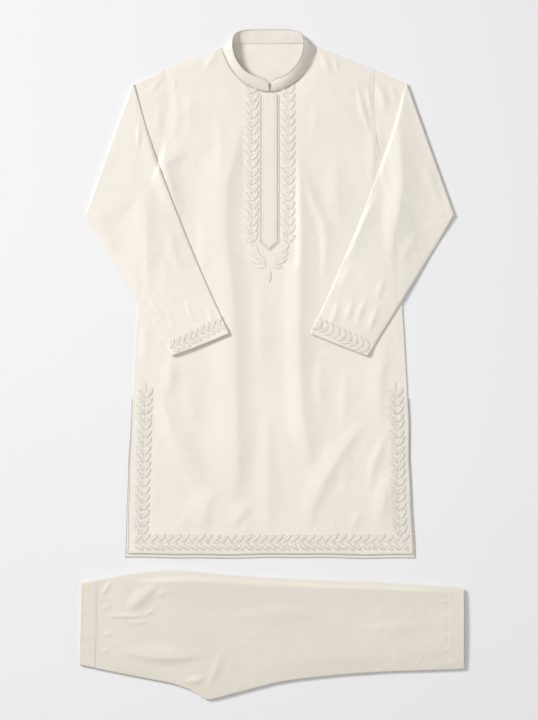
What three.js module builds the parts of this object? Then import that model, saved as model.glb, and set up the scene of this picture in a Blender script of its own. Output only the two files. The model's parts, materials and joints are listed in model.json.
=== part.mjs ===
// A long kurta with a band collar, and its churidar trousers, laid flat for display.
// The kurta lies face up with each sleeve folded in over the front. The churidar lies
// below it on its side, one leg on the other, with the waist to the left.
// Millimetres, +Z up from the surface that the set lies on, +Y towards the collar.
import * as THREE from "three";

// Cloth
const CLOTH = 1.2; // one layer of cloth, as a wall
const SEAM_GAP = 0.3; // between pieces that are sewn together
const PANEL_TOP = 2 * CLOTH + SEAM_GAP; // top of the front where it lies on the back
const PUFF = 0.8; // air under the middle of the front
const PUFF_REACH = 60; // how far in from an edge the front takes to rise
const CORD_RADIUS = 0.8; // the thin piping cord that edges the kurta
const CORD_OUT = CORD_RADIUS + SEAM_GAP; // from an edge to the middle of its cord
const LEAF_THICK = 0.7; // satin stitch stands this proud of the cloth
const LEAF_LIFT = 0.5; // under the stitched leaves

// Kurta, with x from its centre line and y up from the back hem
const LENGTH = 1065; // back hem to the neck end of the shoulder
const FRONT_HEM = 7.5; // the front hem lies this far above the back hem
const SLIT_TOP = 336;
const UNDERARM = 771;
const SHOULDER_TIP = { half: 220, y: 1018 };
const NECK_POINT = { half: 101, y: LENGTH };
const BACK_NECK_Y = 1070;
const FRONT_NECK_Y = 971;

// Half width of the body. The back shows past the front along the slits and the hem.
const BODY_ROWS = [
  { y: 0, front: 297, back: 301.5 },
  { y: 160, front: 291.5, back: 294.5 },
  { y: SLIT_TOP, front: 286.5, back: 287 },
  { y: 530, front: 276, back: 276 },
  { y: UNDERARM, front: 260, back: 260 },
  { y: 834, front: 233, back: 233 },
  { y: 899, front: 221, back: 221 },
  { y: 960, front: 218.5, back: 218.5 },
  { y: SHOULDER_TIP.y, front: SHOULDER_TIP.half, back: SHOULDER_TIP.half },
];

// The neckline of the front, from the centre to the neck end of the shoulder.
const NECK_ROWS = [
  { half: 0, y: FRONT_NECK_Y },
  { half: 31.5, y: 977.5 },
  { half: 57, y: 993.5 },
  { half: 80, y: 1020 },
  { half: 94.5, y: 1048 },
  { half: NECK_POINT.half, y: NECK_POINT.y },
];

// The largest folds of the front. Each is a soft ridge along a curve of three points.
const FOLDS = [
  { x0: -101, y0: 815, x1: -110, y1: 680, x2: -84, y2: 540, reach: 24, height: 2.6 },
  { x0: -84, y0: 545, x1: -76, y1: 330, x2: -70, y2: 120, reach: 22, height: 2.6 },
  { x0: 56, y0: 790, x1: 76, y1: 660, x2: 62, y2: 530, reach: 24, height: 2.6 },
  { x0: 60, y0: 535, x1: 58, y1: 330, x2: 88, y2: 170, reach: 24, height: 2.4 },
  { x0: 118, y0: 720, x1: 150, y1: 640, x2: 118, y2: 540, reach: 20, height: 1.8 },
  { x0: -8, y0: 300, x1: -10, y1: 160, x2: -8, y2: 40, reach: 26, height: 1.5 },
  { x0: -228, y0: 345, x1: -185, y1: 220, x2: -146, y2: 60, reach: 20, height: 2.2 },
  { x0: 190, y0: 300, x1: 120, y1: 190, x2: 70, y2: 35, reach: 22, height: 3.0 },
  { x0: 228, y0: 270, x1: 200, y1: 180, x2: 196, y2: 110, reach: 16, height: 1.9 },
  { x0: 224, y0: 455, x1: 234, y1: 350, x2: 232, y2: 250, reach: 20, height: 1.8 },
  { x0: 256, y0: 225, x1: 230, y1: 130, x2: 204, y2: 40, reach: 20, height: 2.0 },
];
const FOLD_STEPS = 10; // straight lines that stand for each curve
const FOLD_MOST = 3.4; // no ridge rises higher than this above the panel
const FOLD_LEFT = 0.3; // share of a ridge that runs on over the hem and the slits

// Where the front lies flatter: beside the placket, at the borders, and under the sleeves
const FLAT = {
  placket: { half: 58, foot: 600, fade: 18 },
  hem: { from: 46, fade: 40 },
  side: { from: 38, fade: 25 },
  sleeve: { from: 12, fade: 24 },
};

// Sleeve, flattened, then folded in over the front along a line from shoulder to elbow
const FOLD_TOP = { half: 287, y: 989 };
const FOLD_ELBOW = { half: 386, y: 714 };
const CUFF_IN = { half: 85, y: 468 };
const CUFF_OUT = { half: 205, y: 421 };
const SLEEVE_BOW = 12; // the sleeve's inner edge curves out this far
const SLEEVE_FLAT = 3.0; // flattened sleeve where it lies under its own fold
const SLEEVE_FULL = 5.0; // flattened sleeve where it lies on top
const SLEEVE_LIFT = 0.5; // under the part that lies on top
const SLEEVE_REST = 35; // how far past an edge the sleeve takes to come down to the ground
const FOLD_RADIUS = (SLEEVE_FLAT + SLEEVE_LIFT) / 2;

// Collar band: seam line and top edge, from the centre front round to the centre back
const COLLAR_THICK = 2.2;
const COLLAR_ROWS = [
  { at: 0, seamX: 1.4, seamY: 972.5, topX: 4, topY: 993, topZ: 9 },
  { at: 1, seamX: 15, seamY: 974, topX: 16, topY: 999, topZ: 11.5 },
  { at: 2, seamX: 32, seamY: 980, topX: 31, topY: 1004, topZ: 13.5 },
  { at: 3, seamX: 57, seamY: 995.5, topX: 50, topY: 1016, topZ: 16 },
  { at: 4, seamX: 78.5, seamY: 1021, topX: 66, topY: 1037, topZ: 18.5 },
  { at: 5, seamX: 91, seamY: 1046, topX: 73, topY: 1057, topZ: 19.5 },
  { at: 6, seamX: 96, seamY: 1061, topX: 74, topY: 1074, topZ: 18.5 },
  { at: 7, seamX: 90, seamY: 1068.5, topX: 71, topY: 1087, topZ: 15.5 },
  { at: 8, seamX: 76, seamY: 1072, topX: 63, topY: 1095, topZ: 11 },
  { at: 9, seamX: 58, seamY: 1072.5, topX: 51, topY: 1099, topZ: 7 },
  { at: 10, seamX: 32, seamY: 1072.5, topX: 31, topY: 1101, topZ: 5 },
  { at: 11, seamX: 0, seamY: 1072.5, topX: 0, topY: 1101, topZ: 4 },
];
const COLLAR_LEAN = { top: -4, seam: -2 }; // the band leans to the left
const COLLAR_BACK = 7.6; // the row after which the seam leaves the front for the back
const COLLAR_LEVELS = [0, 0.5, 1];
const COLLAR_STEP = 0.5;
const COLLAR_CORD_OUT = CORD_OUT + 0.7; // the band's top edge turns as it goes round

// Placket strip down the centre front, pointed at its foot
const PLACKET = { x: -1, half: 15.5, top: 968, side: 660, tip: 645.5, thick: 1.0 };
const PLACKET_CORD_OUT = 4.4; // the outer cord runs this far outside the strip

// Stitched leaves, in pairs along a stem
const STEM_HALF = 0.9;
const LEAVES = {
  placket: { pitch: 20.5, reach: 15, lean: 15, width: 7.5, bare: 3 },
  cuff: { pitch: 15.5, reach: 13, lean: 13, width: 6, bare: 0 },
  border: { pitch: 17, reach: 14.5, lean: 12, width: 6, bare: 0 },
};
const PLACKET_STEM = 38; // from the placket's middle to each stem
const BORDER_IN = 19; // from the edge of the front to the stem of its border
const CUFF_IN_FROM_EDGE = 20; // from the cuff's edge to its stem
const DROP = { top: 601, foot: 575, half: 3.2 }; // the single leaf under the placket

// A placket stem from its foot, which is near the centre line, up to the collar. Its foot
// has leaves on the outer side alone.
const STEM_ROWS = [
  { out: 5, y: 606 },
  { out: 15, y: 615 },
  { out: 25, y: 630 },
  { out: 33, y: 650 },
  { out: PLACKET_STEM, y: 680 },
  { out: PLACKET_STEM, y: 760 },
  { out: PLACKET_STEM, y: 860 },
  { out: PLACKET_STEM, y: 971 },
];

// Churidar, with x from the waist edge to the leg hem and y from its middle line.
// The lower edge is the seat seam as far as the crotch, and then the inside leg seam.
const CHURIDAR_ROWS = [
  { x: 0, upper: 96.5, lower: -77 },
  { x: 38, upper: 103, lower: -84 },
  { x: 90, upper: 112.5, lower: -94.5 },
  { x: 143, upper: 119.5, lower: -105 },
  { x: 190, upper: 122, lower: -114.5 },
  { x: 228, upper: 120, lower: -127.5 },
  { x: 252, upper: 117.5, lower: -142 },
  { x: 262, upper: 116.5, lower: -147.5 },
  { x: 276, upper: 115, lower: -147 },
  { x: 332, upper: 110, lower: -132.5 },
  { x: 416, upper: 105, lower: -111.5 },
  { x: 521, upper: 100, lower: -98.5 },
  { x: 626, upper: 96, lower: -90.5 },
  { x: 743, upper: 89, lower: -86.5 },
  { x: 800, upper: 84, lower: -84 },
];
const WAISTBAND = 32.5;
const WAIST_SLANT = 0.022; // the waist edge leans out towards the seat
const LAYER_PAIR = 3.6; // two layers of the far leg
const LEG_FLAT = 3.2; // the near leg at its edges
const LEG_FULL = 5.0; // and in its middle
const FAR_INSET = 2; // the far leg lies this far inside the near one
const BAND_CLOTH = 1.5;

// Where the two garments lie on the surface
const KURTA_AT = { x: -3, y: -403.5 };
const CHURIDAR_AT = { x: -398, y: -552.5 };

const COLOURS = {
  silk: { color: 0xefe9dd, roughness: 0.55, metalness: 0 },
  leaf: { color: 0xe9e4da, roughness: 0.4, metalness: 0 },
  cord: { color: 0xb9b2a8, roughness: 0.5, metalness: 0 },
  trouser: { color: 0xe6dece, roughness: 0.6, metalness: 0 },
};

const mix = (a, b, t) => a + (b - a) * t;
const smooth = (t) => {
  const c = Math.min(1, Math.max(0, t));
  return c * c * (3 - 2 * c);
};
const steps = (count) => Array.from({ length: count + 1 }, (_, i) => i / count);

// A column of a table at a given place, on a smooth curve through the rows.
function read(rows, key, column, at) {
  const last = rows.length - 1;
  if (at <= rows[0][key]) return rows[0][column];
  if (at >= rows[last][key]) return rows[last][column];
  const i = rows.findIndex((row) => row[key] > at) - 1;
  const slope = (k) => {
    const a = rows[Math.max(k - 1, 0)];
    const b = rows[Math.min(k + 1, last)];
    return (b[column] - a[column]) / (b[key] - a[key]);
  };
  const span = rows[i + 1][key] - rows[i][key];
  const t = (at - rows[i][key]) / span;
  const bend = t * (1 - t) * span;
  return (
    mix(rows[i][column], rows[i + 1][column], t * t * (3 - 2 * t)) +
    bend * ((1 - t) * slope(i) - t * slope(i + 1))
  );
}

// Closed solids from points

// A mesh from points and triangles, turned so that its faces point outwards.
function solid(points, triangles) {
  let volume = 0;
  for (const [a, b, c] of triangles) {
    volume += points[a].dot(new THREE.Vector3().crossVectors(points[b], points[c]));
  }
  const index = triangles.flatMap(([a, b, c]) => (volume < 0 ? [a, c, b] : [a, b, c]));
  const geometry = new THREE.BufferGeometry().setFromPoints(points);
  geometry.setIndex(index);
  geometry.computeVertexNormals();
  return geometry;
}

// A plate between two grids of points, rows by columns.
function plate(top, bottom) {
  const rows = top.length;
  const columns = top[0].length;
  const under = rows * columns;
  const at = (r, c) => r * columns + c;
  const triangles = [];
  const quad = (a, b, c, d) => triangles.push([a, b, c], [a, c, d]);
  for (let r = 0; r < rows - 1; r++) {
    for (let c = 0; c < columns - 1; c++) {
      quad(at(r, c), at(r, c + 1), at(r + 1, c + 1), at(r + 1, c));
      quad(under + at(r, c), under + at(r + 1, c), under + at(r + 1, c + 1), under + at(r, c + 1));
    }
    quad(at(r, 0), at(r + 1, 0), under + at(r + 1, 0), under + at(r, 0));
    const e = columns - 1;
    quad(at(r + 1, e), at(r, e), under + at(r, e), under + at(r + 1, e));
  }
  for (let c = 0; c < columns - 1; c++) {
    quad(at(0, c + 1), at(0, c), under + at(0, c), under + at(0, c + 1));
    const e = rows - 1;
    quad(at(e, c), at(e, c + 1), under + at(e, c + 1), under + at(e, c));
  }
  return solid([...top.flat(), ...bottom.flat()], triangles);
}

// An open tube with a wall, from outer and inner rings of points.
function tube(outer, inner) {
  const stations = outer.length;
  const around = outer[0].length;
  const inside = stations * around;
  const at = (s, k) => s * around + (k % around);
  const triangles = [];
  const quad = (a, b, c, d) => triangles.push([a, b, c], [a, c, d]);
  for (let k = 0; k < around; k++) {
    for (let s = 0; s < stations - 1; s++) {
      quad(at(s, k), at(s + 1, k), at(s + 1, k + 1), at(s, k + 1));
      quad(inside + at(s, k), inside + at(s, k + 1), inside + at(s + 1, k + 1), inside + at(s + 1, k));
    }
    const e = stations - 1;
    quad(at(0, k), at(0, k + 1), inside + at(0, k + 1), inside + at(0, k));
    quad(at(e, k + 1), at(e, k), inside + at(e, k), inside + at(e, k + 1));
  }
  return solid([...outer.flat(), ...inner.flat()], triangles);
}

// A round cord with a ring of corners at each point of its route. The way across the
// first ring is given, and the later rings turn no more than the route does.
const CORD_SIDES = 6;
function cord(points, acrossStart = new THREE.Vector3(0, 0, 1)) {
  const last = points.length - 1;
  let across = acrossStart.clone();
  const rings = points.map((point, i) => {
    const along = points[Math.min(i + 1, last)].clone().sub(points[Math.max(i - 1, 0)]).normalize();
    across = across.clone().addScaledVector(along, -across.dot(along)).normalize();
    const other = new THREE.Vector3().crossVectors(along, across);
    return steps(CORD_SIDES).slice(1).map((turn) => {
      const angle = 2 * Math.PI * turn;
      return point
        .clone()
        .addScaledVector(across, CORD_RADIUS * Math.cos(angle))
        .addScaledVector(other, CORD_RADIUS * Math.sin(angle));
    });
  });
  const at = (r, k) => r * CORD_SIDES + (k % CORD_SIDES);
  const triangles = [];
  for (let k = 0; k < CORD_SIDES; k++) {
    for (let r = 0; r < last; r++) {
      triangles.push([at(r, k), at(r, k + 1), at(r + 1, k + 1)]);
      triangles.push([at(r, k), at(r + 1, k + 1), at(r + 1, k)]);
    }
  }
  for (let k = 1; k < CORD_SIDES - 1; k++) {
    triangles.push([at(0, 0), at(0, k + 1), at(0, k)], [at(last, 0), at(last, k), at(last, k + 1)]);
  }
  return solid(rings.flat(), triangles);
}

// Evenly spaced points on a smooth curve through a few others.
function smoothRoute(points, count) {
  return new THREE.CatmullRomCurve3(points, false, "centripetal").getSpacedPoints(count);
}

const group = new THREE.Group();

function piece(parent, name, geometry, finish) {
  const mesh = new THREE.Mesh(geometry, new THREE.MeshStandardMaterial(COLOURS[finish]));
  mesh.name = name;
  parent.add(mesh);
  return mesh;
}

// Front and back

// Height of the front's top edge: the neckline, then the slope of the shoulder.
function frontTop(x) {
  const half = Math.abs(x);
  if (half < NECK_POINT.half) return read(NECK_ROWS, "half", "y", half);
  const t = (half - NECK_POINT.half) / (SHOULDER_TIP.half - NECK_POINT.half);
  return mix(NECK_POINT.y, SHOULDER_TIP.y, t);
}

function backTop(x) {
  const half = Math.abs(x);
  if (half > NECK_POINT.half) return frontTop(x);
  return mix(BACK_NECK_Y, NECK_POINT.y, smooth((half - 62) / (NECK_POINT.half - 62)));
}

// Distance from a point to a fold's curve, in plan.
function foldDistance(fold, x, y) {
  let nearest = Infinity;
  let ax = fold.x0;
  let ay = fold.y0;
  for (let i = 1; i <= FOLD_STEPS; i++) {
    const t = i / FOLD_STEPS;
    const bx = mix(mix(fold.x0, fold.x1, t), mix(fold.x1, fold.x2, t), t);
    const by = mix(mix(fold.y0, fold.y1, t), mix(fold.y1, fold.y2, t), t);
    const along = ((x - ax) * (bx - ax) + (y - ay) * (by - ay)) / ((bx - ax) ** 2 + (by - ay) ** 2);
    const k = Math.min(1, Math.max(0, along));
    nearest = Math.min(nearest, Math.hypot(x - mix(ax, bx, k), y - mix(ay, by, k)));
    ax = bx;
    ay = by;
  }
  return nearest;
}

// Sleeve outline that lies on the body, as the half width of its inner edge at a height.
function sleeveInner(y) {
  const t = (FOLD_TOP.y - y) / (FOLD_TOP.y - CUFF_IN.y);
  return mix(FOLD_TOP.half, CUFF_IN.half, t) + SLEEVE_BOW * 4 * t * (1 - t);
}

// Share of the folds that is left beside the trims and under the sleeves, where cloth lies flat.
function foldShare(x, y) {
  const half = Math.abs(x);
  const beside = 1 - smooth((half - FLAT.placket.half) / FLAT.placket.fade);
  const placket = 1 - beside * smooth((y - FLAT.placket.foot) / FLAT.hem.fade);
  const hem = mix(FOLD_LEFT, 1, smooth((y - FLAT.hem.from) / FLAT.hem.fade));
  const edge = read(BODY_ROWS, "y", "front", y) - half;
  const side = mix(FOLD_LEFT, 1, smooth((edge - FLAT.side.from) / FLAT.side.fade));
  const onSleeveSide = y > CUFF_OUT.y - FLAT.hem.fade;
  const inside = onSleeveSide ? sleeveInner(Math.max(y, CUFF_IN.y)) - half : FLAT.placket.half;
  const cuffLine = mix(CUFF_IN.y, CUFF_OUT.y, (half - CUFF_IN.half) / (CUFF_OUT.half - CUFF_IN.half));
  const clear = Math.max(inside, cuffLine - y);
  return placket * hem * side * smooth((clear - FLAT.sleeve.from) / FLAT.sleeve.fade);
}

// Top surface of the front at a point of the plan.
function frontZ(x, y) {
  const half = Math.abs(x);
  const width = read(BODY_ROWS, "y", "front", y);
  const edge = Math.min(width - half, frontTop(x) - y, y - FRONT_HEM + 20);
  const puff = PUFF * smooth(edge / PUFF_REACH);
  let rise = 0;
  for (const fold of FOLDS) {
    const share = foldDistance(fold, x, y) / fold.reach;
    if (share < 2) rise += fold.height * Math.exp(-1.6 * share * share);
  }
  return PANEL_TOP + puff + Math.min(FOLD_MOST - PUFF, rise) * foldShare(x, y);
}

const ACROSS = steps(6); // across a sleeve, from the tip of the shoulder to the underarm

// Rows of a panel as shares of its height. Those at the armhole are the sleeve's own.
function panelRows(hem, below) {
  const low = steps(below).slice(0, -1).map((t) => mix(hem, UNDERARM, t));
  const armhole = [...ACROSS].reverse().map((w) => mix(SHOULDER_TIP.y, UNDERARM, w));
  return [...low, ...armhole].map((y) => (y - hem) / (SHOULDER_TIP.y - hem));
}

const FRONT_COLUMNS = steps(30).map((t) => 2 * t - 1);
const FRONT_ROWS = panelRows(FRONT_HEM, 21);
const BACK_COLUMNS = [-1, -0.73, -0.46, -0.37, -0.28, 0.28, 0.37, 0.46, 0.73, 1];
const BACK_ROWS = panelRows(0, 9);

// A point of a body panel from its share across and its share up.
function panelPoint(side, hem, top, across, up, height) {
  const tipHalf = SHOULDER_TIP.half;
  const x0 = across * tipHalf;
  const y = mix(hem, top(x0), up);
  const x = across * read(BODY_ROWS, "y", side, Math.min(y, SHOULDER_TIP.y));
  return new THREE.Vector3(x, y, height(x, y));
}

function panel(side, hem, top, columns, rows, upper, lower) {
  const grid = (height) =>
    rows.map((up) => columns.map((across) => panelPoint(side, hem, top, across, up, height)));
  return plate(grid(upper), grid(lower));
}

function frontPanel() {
  const under = (x, y) => frontZ(x, y) - CLOTH;
  return panel("front", FRONT_HEM, frontTop, FRONT_COLUMNS, FRONT_ROWS, frontZ, under);
}

function backPanel() {
  return panel("back", 0, backTop, BACK_COLUMNS, BACK_ROWS, () => CLOTH, () => 0);
}

// Sleeves

const BASE_STEPS = 4;
const TURN_STEPS = 5;
const OVER_STEPS = 11;

// The armhole seam from the tip of the shoulder to the underarm, just outside the panels.
function armhole(w) {
  const y = mix(SHOULDER_TIP.y, UNDERARM, w);
  return new THREE.Vector2(read(BODY_ROWS, "y", "front", y) + SEAM_GAP, y);
}

function foldLine(w) {
  return new THREE.Vector2(mix(FOLD_TOP.half, FOLD_ELBOW.half, w), mix(FOLD_TOP.y, FOLD_ELBOW.y, w));
}

// What the folded part rests on: the front, the sleeve's own base, or the ground beside them.
function sleeveRest(half, y) {
  const body = half - read(BODY_ROWS, "y", "front", y);
  const slope = (FOLD_ELBOW.y - UNDERARM) / (FOLD_ELBOW.half - 260);
  const base = UNDERARM + slope * (half - 260) - y;
  const out = Math.min(body, base);
  const drop = 1 - smooth(out / SLEEVE_REST);
  return body < 0 ? Math.max(SLEEVE_FLAT, frontZ(half, y)) : SLEEVE_FLAT * drop;
}

// The folded part in plan: w across from the inner edge, s along to the cuff.
function overPlan(w, s) {
  const inner = new THREE.Vector2(
    mix(FOLD_TOP.half, CUFF_IN.half, s) + SLEEVE_BOW * 4 * s * (1 - s),
    mix(FOLD_TOP.y, CUFF_IN.y, s),
  );
  const outer = new THREE.Vector2(
    mix(FOLD_ELBOW.half, CUFF_OUT.half, s),
    mix(FOLD_ELBOW.y, CUFF_OUT.y, s),
  );
  return inner.lerp(outer, w);
}

function overThickness(w, s) {
  const middle = Math.sin(Math.PI * w) ** 0.7;
  return mix(SLEEVE_FLAT, SLEEVE_FULL, Math.max(middle * smooth(s * 4), smooth((s - 0.9) * 10)));
}

// Stations from the armhole to the cuff. Each gives, at w across, the middle of the
// flattened sleeve, the way to its front layer, and its thickness.
function sleeveStations() {
  const line = new THREE.Vector2(FOLD_ELBOW.half - FOLD_TOP.half, FOLD_ELBOW.y - FOLD_TOP.y).normalize();
  const out = new THREE.Vector2(-line.y, line.x);
  const axisIn = FOLD_RADIUS + SLEEVE_FLAT / 2;
  const stations = [];
  for (let i = 0; i <= BASE_STEPS; i++) {
    stations.push((w) => {
      const end = foldLine(w).addScaledVector(out, -axisIn);
      const plan = armhole(w).lerp(end, i / BASE_STEPS);
      const middle = new THREE.Vector3(plan.x, plan.y, SLEEVE_FLAT / 2);
      return { middle, normal: new THREE.Vector3(0, 0, 1), thick: SLEEVE_FLAT };
    });
  }
  for (let i = 1; i < TURN_STEPS; i++) {
    const turn = (Math.PI * i) / TURN_STEPS;
    stations.push((w) => {
      const plan = foldLine(w).addScaledVector(out, FOLD_RADIUS * Math.sin(turn) - axisIn);
      const z = SLEEVE_FLAT / 2 + FOLD_RADIUS * (1 - Math.cos(turn));
      const normal = new THREE.Vector3(-Math.sin(turn) * out.x, -Math.sin(turn) * out.y, Math.cos(turn));
      return { middle: new THREE.Vector3(plan.x, plan.y, z), normal, thick: SLEEVE_FLAT };
    });
  }
  for (let i = 0; i <= OVER_STEPS; i++) {
    const s = i / OVER_STEPS;
    stations.push((w) => {
      const plan = overPlan(w, s).addScaledVector(out, -axisIn * (1 - smooth(s * 5)));
      const thick = overThickness(w, s);
      const z = sleeveRest(plan.x, plan.y) + SLEEVE_LIFT + thick / 2;
      return { middle: new THREE.Vector3(plan.x, plan.y, z), normal: new THREE.Vector3(0, 0, -1), thick };
    });
  }
  return stations;
}

const STATIONS = sleeveStations();

// One ring round the flattened sleeve, on its outside or its inside.
function sleeveRing(station, wall) {
  const first = station(0);
  const last = station(1);
  const across = last.middle.clone().sub(first.middle).setZ(0).normalize();
  const corner = wall ? wall + 0.7 : 0.9;
  const point = (w, face, inset) => {
    const at = station(w);
    const offset = face * (at.thick / 2 - wall);
    return at.middle.clone().addScaledVector(at.normal, offset).addScaledVector(across, inset);
  };
  const inset = (w) => (w === 0 ? corner : w === 1 ? -corner : 0);
  return [
    ...ACROSS.map((w) => point(w, 1, inset(w))),
    point(1, 0, -wall),
    ...[...ACROSS].reverse().map((w) => point(w, -1, inset(w))),
    point(0, 0, wall),
  ];
}

const mirror = (side) => (p) => new THREE.Vector3(side * p.x, p.y, p.z);

function sleeve(side) {
  const rings = (wall) => STATIONS.map((station) => sleeveRing(station, wall).map(mirror(side)));
  return tube(rings(0), rings(CLOTH));
}

// Top surface of the folded part at w across and s along.
function sleeveTop(w, s) {
  const plan = overPlan(w, s);
  const z = sleeveRest(plan.x, plan.y) + SLEEVE_LIFT + overThickness(w, s);
  return new THREE.Vector3(plan.x, plan.y, z);
}

// The cord round a cuff, a loop that stops just short of closing at the underarm seam.
function cuffCord(side) {
  const end = STATIONS[STATIONS.length - 1];
  const way = overPlan(0.5, 1).sub(overPlan(0.5, 0.9)).normalize();
  const width = overPlan(1, 1).sub(overPlan(0, 1)).normalize();
  const inset = 2.5;
  const loop = (w, face) => {
    const at = end(w);
    const across = w < 0.5 ? inset * (1 - 2 * w) : -inset * (2 * w - 1);
    const middle = at.middle.clone().addScaledVector(at.normal, face * (at.thick / 2 - CLOTH / 2));
    middle.x += across * width.x + way.x * CORD_OUT;
    middle.y += across * width.y + way.y * CORD_OUT;
    return middle;
  };
  const turn = (w) => {
    const point = loop(w, 0);
    const push = (w === 0 ? -1 : 1) * (inset - CORD_RADIUS);
    return point.add(new THREE.Vector3(push * width.x, push * width.y, 0));
  };
  const top = steps(8).map((w) => loop(w, -1));
  const under = steps(8).map((w) => loop(1 - w, 1));
  const across = new THREE.Vector3(side * way.x, way.y, 0);
  return cord([turn(0), ...top, turn(1), ...under.slice(0, -1)].map(mirror(side)), across);
}

// Collar

// A point of the collar's middle surface: at along it from the centre front, t up it.
// It is the same on both sides but for the lean, which carrySide adds.
function collarPoint(at, t) {
  const get = (column) => read(COLLAR_ROWS, "at", column, at);
  const onBack = smooth((at - COLLAR_BACK + 1) / 1.6);
  const lift = SEAM_GAP + COLLAR_THICK / 2 + 0.15;
  const seamZ = mix(frontZ(get("seamX"), get("seamY")) + lift, COLLAR_THICK / 2 + 0.1, onBack);
  const bulge = 2.2 * Math.sin(Math.PI * t) * (1 - onBack);
  return new THREE.Vector3(
    mix(get("seamX"), get("topX"), t),
    mix(get("seamY"), get("topY"), t),
    mix(seamZ, get("topZ"), t) + bulge,
  );
}

const COLLAR_ATS = [];
for (let at = 0; at <= 11; at += COLLAR_STEP) COLLAR_ATS.push(at);

// The whole ring, from the left end at the centre front round the back to the right end.
function collarStations() {
  const left = COLLAR_ATS.map((at) => ({ at, side: -1 }));
  const right = COLLAR_ATS.slice(0, -1).reverse().map((at) => ({ at, side: 1 }));
  return [...left, ...right];
}

// A point of one side of the collar, leaned to the left as it goes round from the front.
function carrySide(side, at, t, point) {
  const lean = mix(COLLAR_LEAN.seam, COLLAR_LEAN.top, t) * smooth(at / 4);
  return new THREE.Vector3(side * point.x + lean, point.y, point.z);
}

function collarNormal(at, t) {
  const d = 0.05;
  const ahead = collarPoint(Math.min(at + d, 11), t).sub(collarPoint(Math.max(at - d, 0), t));
  const up = collarPoint(at, Math.min(t + d, 1)).sub(collarPoint(at, Math.max(t - d, 0)));
  return new THREE.Vector3().crossVectors(up, ahead).normalize();
}

function collar() {
  const face = (offset) =>
    collarStations().map(({ at, side }) =>
      COLLAR_LEVELS.map((t) => {
        const point = collarPoint(at, t).addScaledVector(collarNormal(at, t), offset);
        return carrySide(side, at, t, point);
      }),
    );
  return plate(face(COLLAR_THICK / 2), face(-COLLAR_THICK / 2));
}

// The cord along the collar's top edge.
function collarTopCord() {
  const points = collarStations().map(({ at, side }) => {
    const rise = collarPoint(at, 1).sub(collarPoint(at, 0.5)).normalize();
    return carrySide(side, at, 1, collarPoint(at, 1).addScaledVector(rise, COLLAR_CORD_OUT));
  });
  return cord(points);
}

// The cord round the foot of the collar, on the front.
function collarFootCord() {
  const reach = CORD_OUT + 0.9;
  const points = collarStations()
    .filter(({ at }) => at <= 5.5)
    .map(({ at, side }) => {
      const foot = collarPoint(at, 0);
      const away = foot.clone().sub(collarPoint(at, 1)).setZ(0).normalize();
      foot.addScaledVector(away, reach);
      foot.z = frontZ(foot.x, foot.y) + CORD_OUT;
      return { point: carrySide(side, at, 0, foot), side };
    });
  const half = (side) => points.filter((p) => p.side === side).map((p) => p.point);
  return cord(smoothRoute([...half(-1).reverse(), ...half(1).reverse()], 36));
}

// Placket strip, laid on the front's own surface
function placket() {
  const lanes = [-1, 0, 1];
  const foot = (lane) => mix(PLACKET.tip, PLACKET.side, Math.abs(lane));
  const grid = (lift) =>
    steps(12).map((t) =>
      lanes.map((lane) => {
        const x = PLACKET.x + lane * PLACKET.half;
        const y = mix(foot(lane), PLACKET.top, t);
        return new THREE.Vector3(x, y, frontZ(x, y) + lift);
      }),
    );
  return plate(grid(SEAM_GAP + PLACKET.thick), grid(SEAM_GAP));
}

// A cord down one side of the placket, round its point and up the other side.
function placketCord(out) {
  const half = PLACKET.half + out;
  const slope = (PLACKET.side - PLACKET.tip) / PLACKET.half;
  const tip = PLACKET.tip - out * Math.hypot(1, slope);
  const down = steps(9).map((t) => [half, mix(PLACKET.top - 2, tip + slope * half, t)]);
  const right = [...down, [half / 2, tip + (slope * half) / 2]];
  const left = [...right].reverse().map(([x, y]) => [-x, y]);
  const points = [...right, [0, tip], ...left].map(([x, y]) => {
    const px = PLACKET.x + x;
    return new THREE.Vector3(px, y, frontZ(px, y) + CORD_OUT);
  });
  return cord(points);
}

// Stitched borders

// A stem with pairs of leaves as one flat outline, s along the stem and d to its left.
// The first few leaves on the right are left out where the stem starts bare there.
function vineOutline(length, leaf) {
  const pairs = Math.floor((length - leaf.lean) / leaf.pitch);
  const side = (sign) => {
    const points = [];
    for (let i = sign < 0 ? leaf.bare : 0; i < pairs; i++) {
      const s = (i + 0.35) * leaf.pitch;
      points.push([s, sign * STEM_HALF]);
      points.push([s + leaf.lean * 0.3, sign * (leaf.reach * 0.3 + leaf.width * 0.62)]);
      points.push([s + leaf.lean, sign * leaf.reach]);
      points.push([s + leaf.width * 0.75, sign * STEM_HALF]);
    }
    return points;
  };
  return [[0, -STEM_HALF], ...side(-1), [length, 0], ...side(1).reverse(), [0, STEM_HALF]];
}

// The outline carried on to a surface: place(s, d) gives a point of that surface.
function vine(length, leaf, place) {
  const outline = vineOutline(length, leaf).map(([s, d]) => new THREE.Vector2(s, d));
  const faces = THREE.ShapeUtils.triangulateShape(outline, []);
  const count = outline.length;
  const at = (lift) =>
    outline.map(({ x, y }) => {
      const point = place(x, y);
      point.z += lift;
      return point;
    });
  const points = [...at(LEAF_LIFT + LEAF_THICK), ...at(LEAF_LIFT)];
  const triangles = faces.flatMap(([a, b, c]) => [
    [a, b, c],
    [count + a, count + c, count + b],
  ]);
  for (let i = 0; i < count; i++) {
    const j = (i + 1) % count;
    triangles.push([i, count + i, count + j], [i, count + j, j]);
  }
  return solid(points, triangles);
}

// A place on the front from a straight stem: it starts at (x, y) and runs along (dx, dy).
const onFront = (x, y, dx, dy) => (s, d) => {
  const px = x + dx * s - dy * d;
  const py = y + dy * s + dx * d;
  return new THREE.Vector3(px, py, frontZ(px, py));
};

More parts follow.
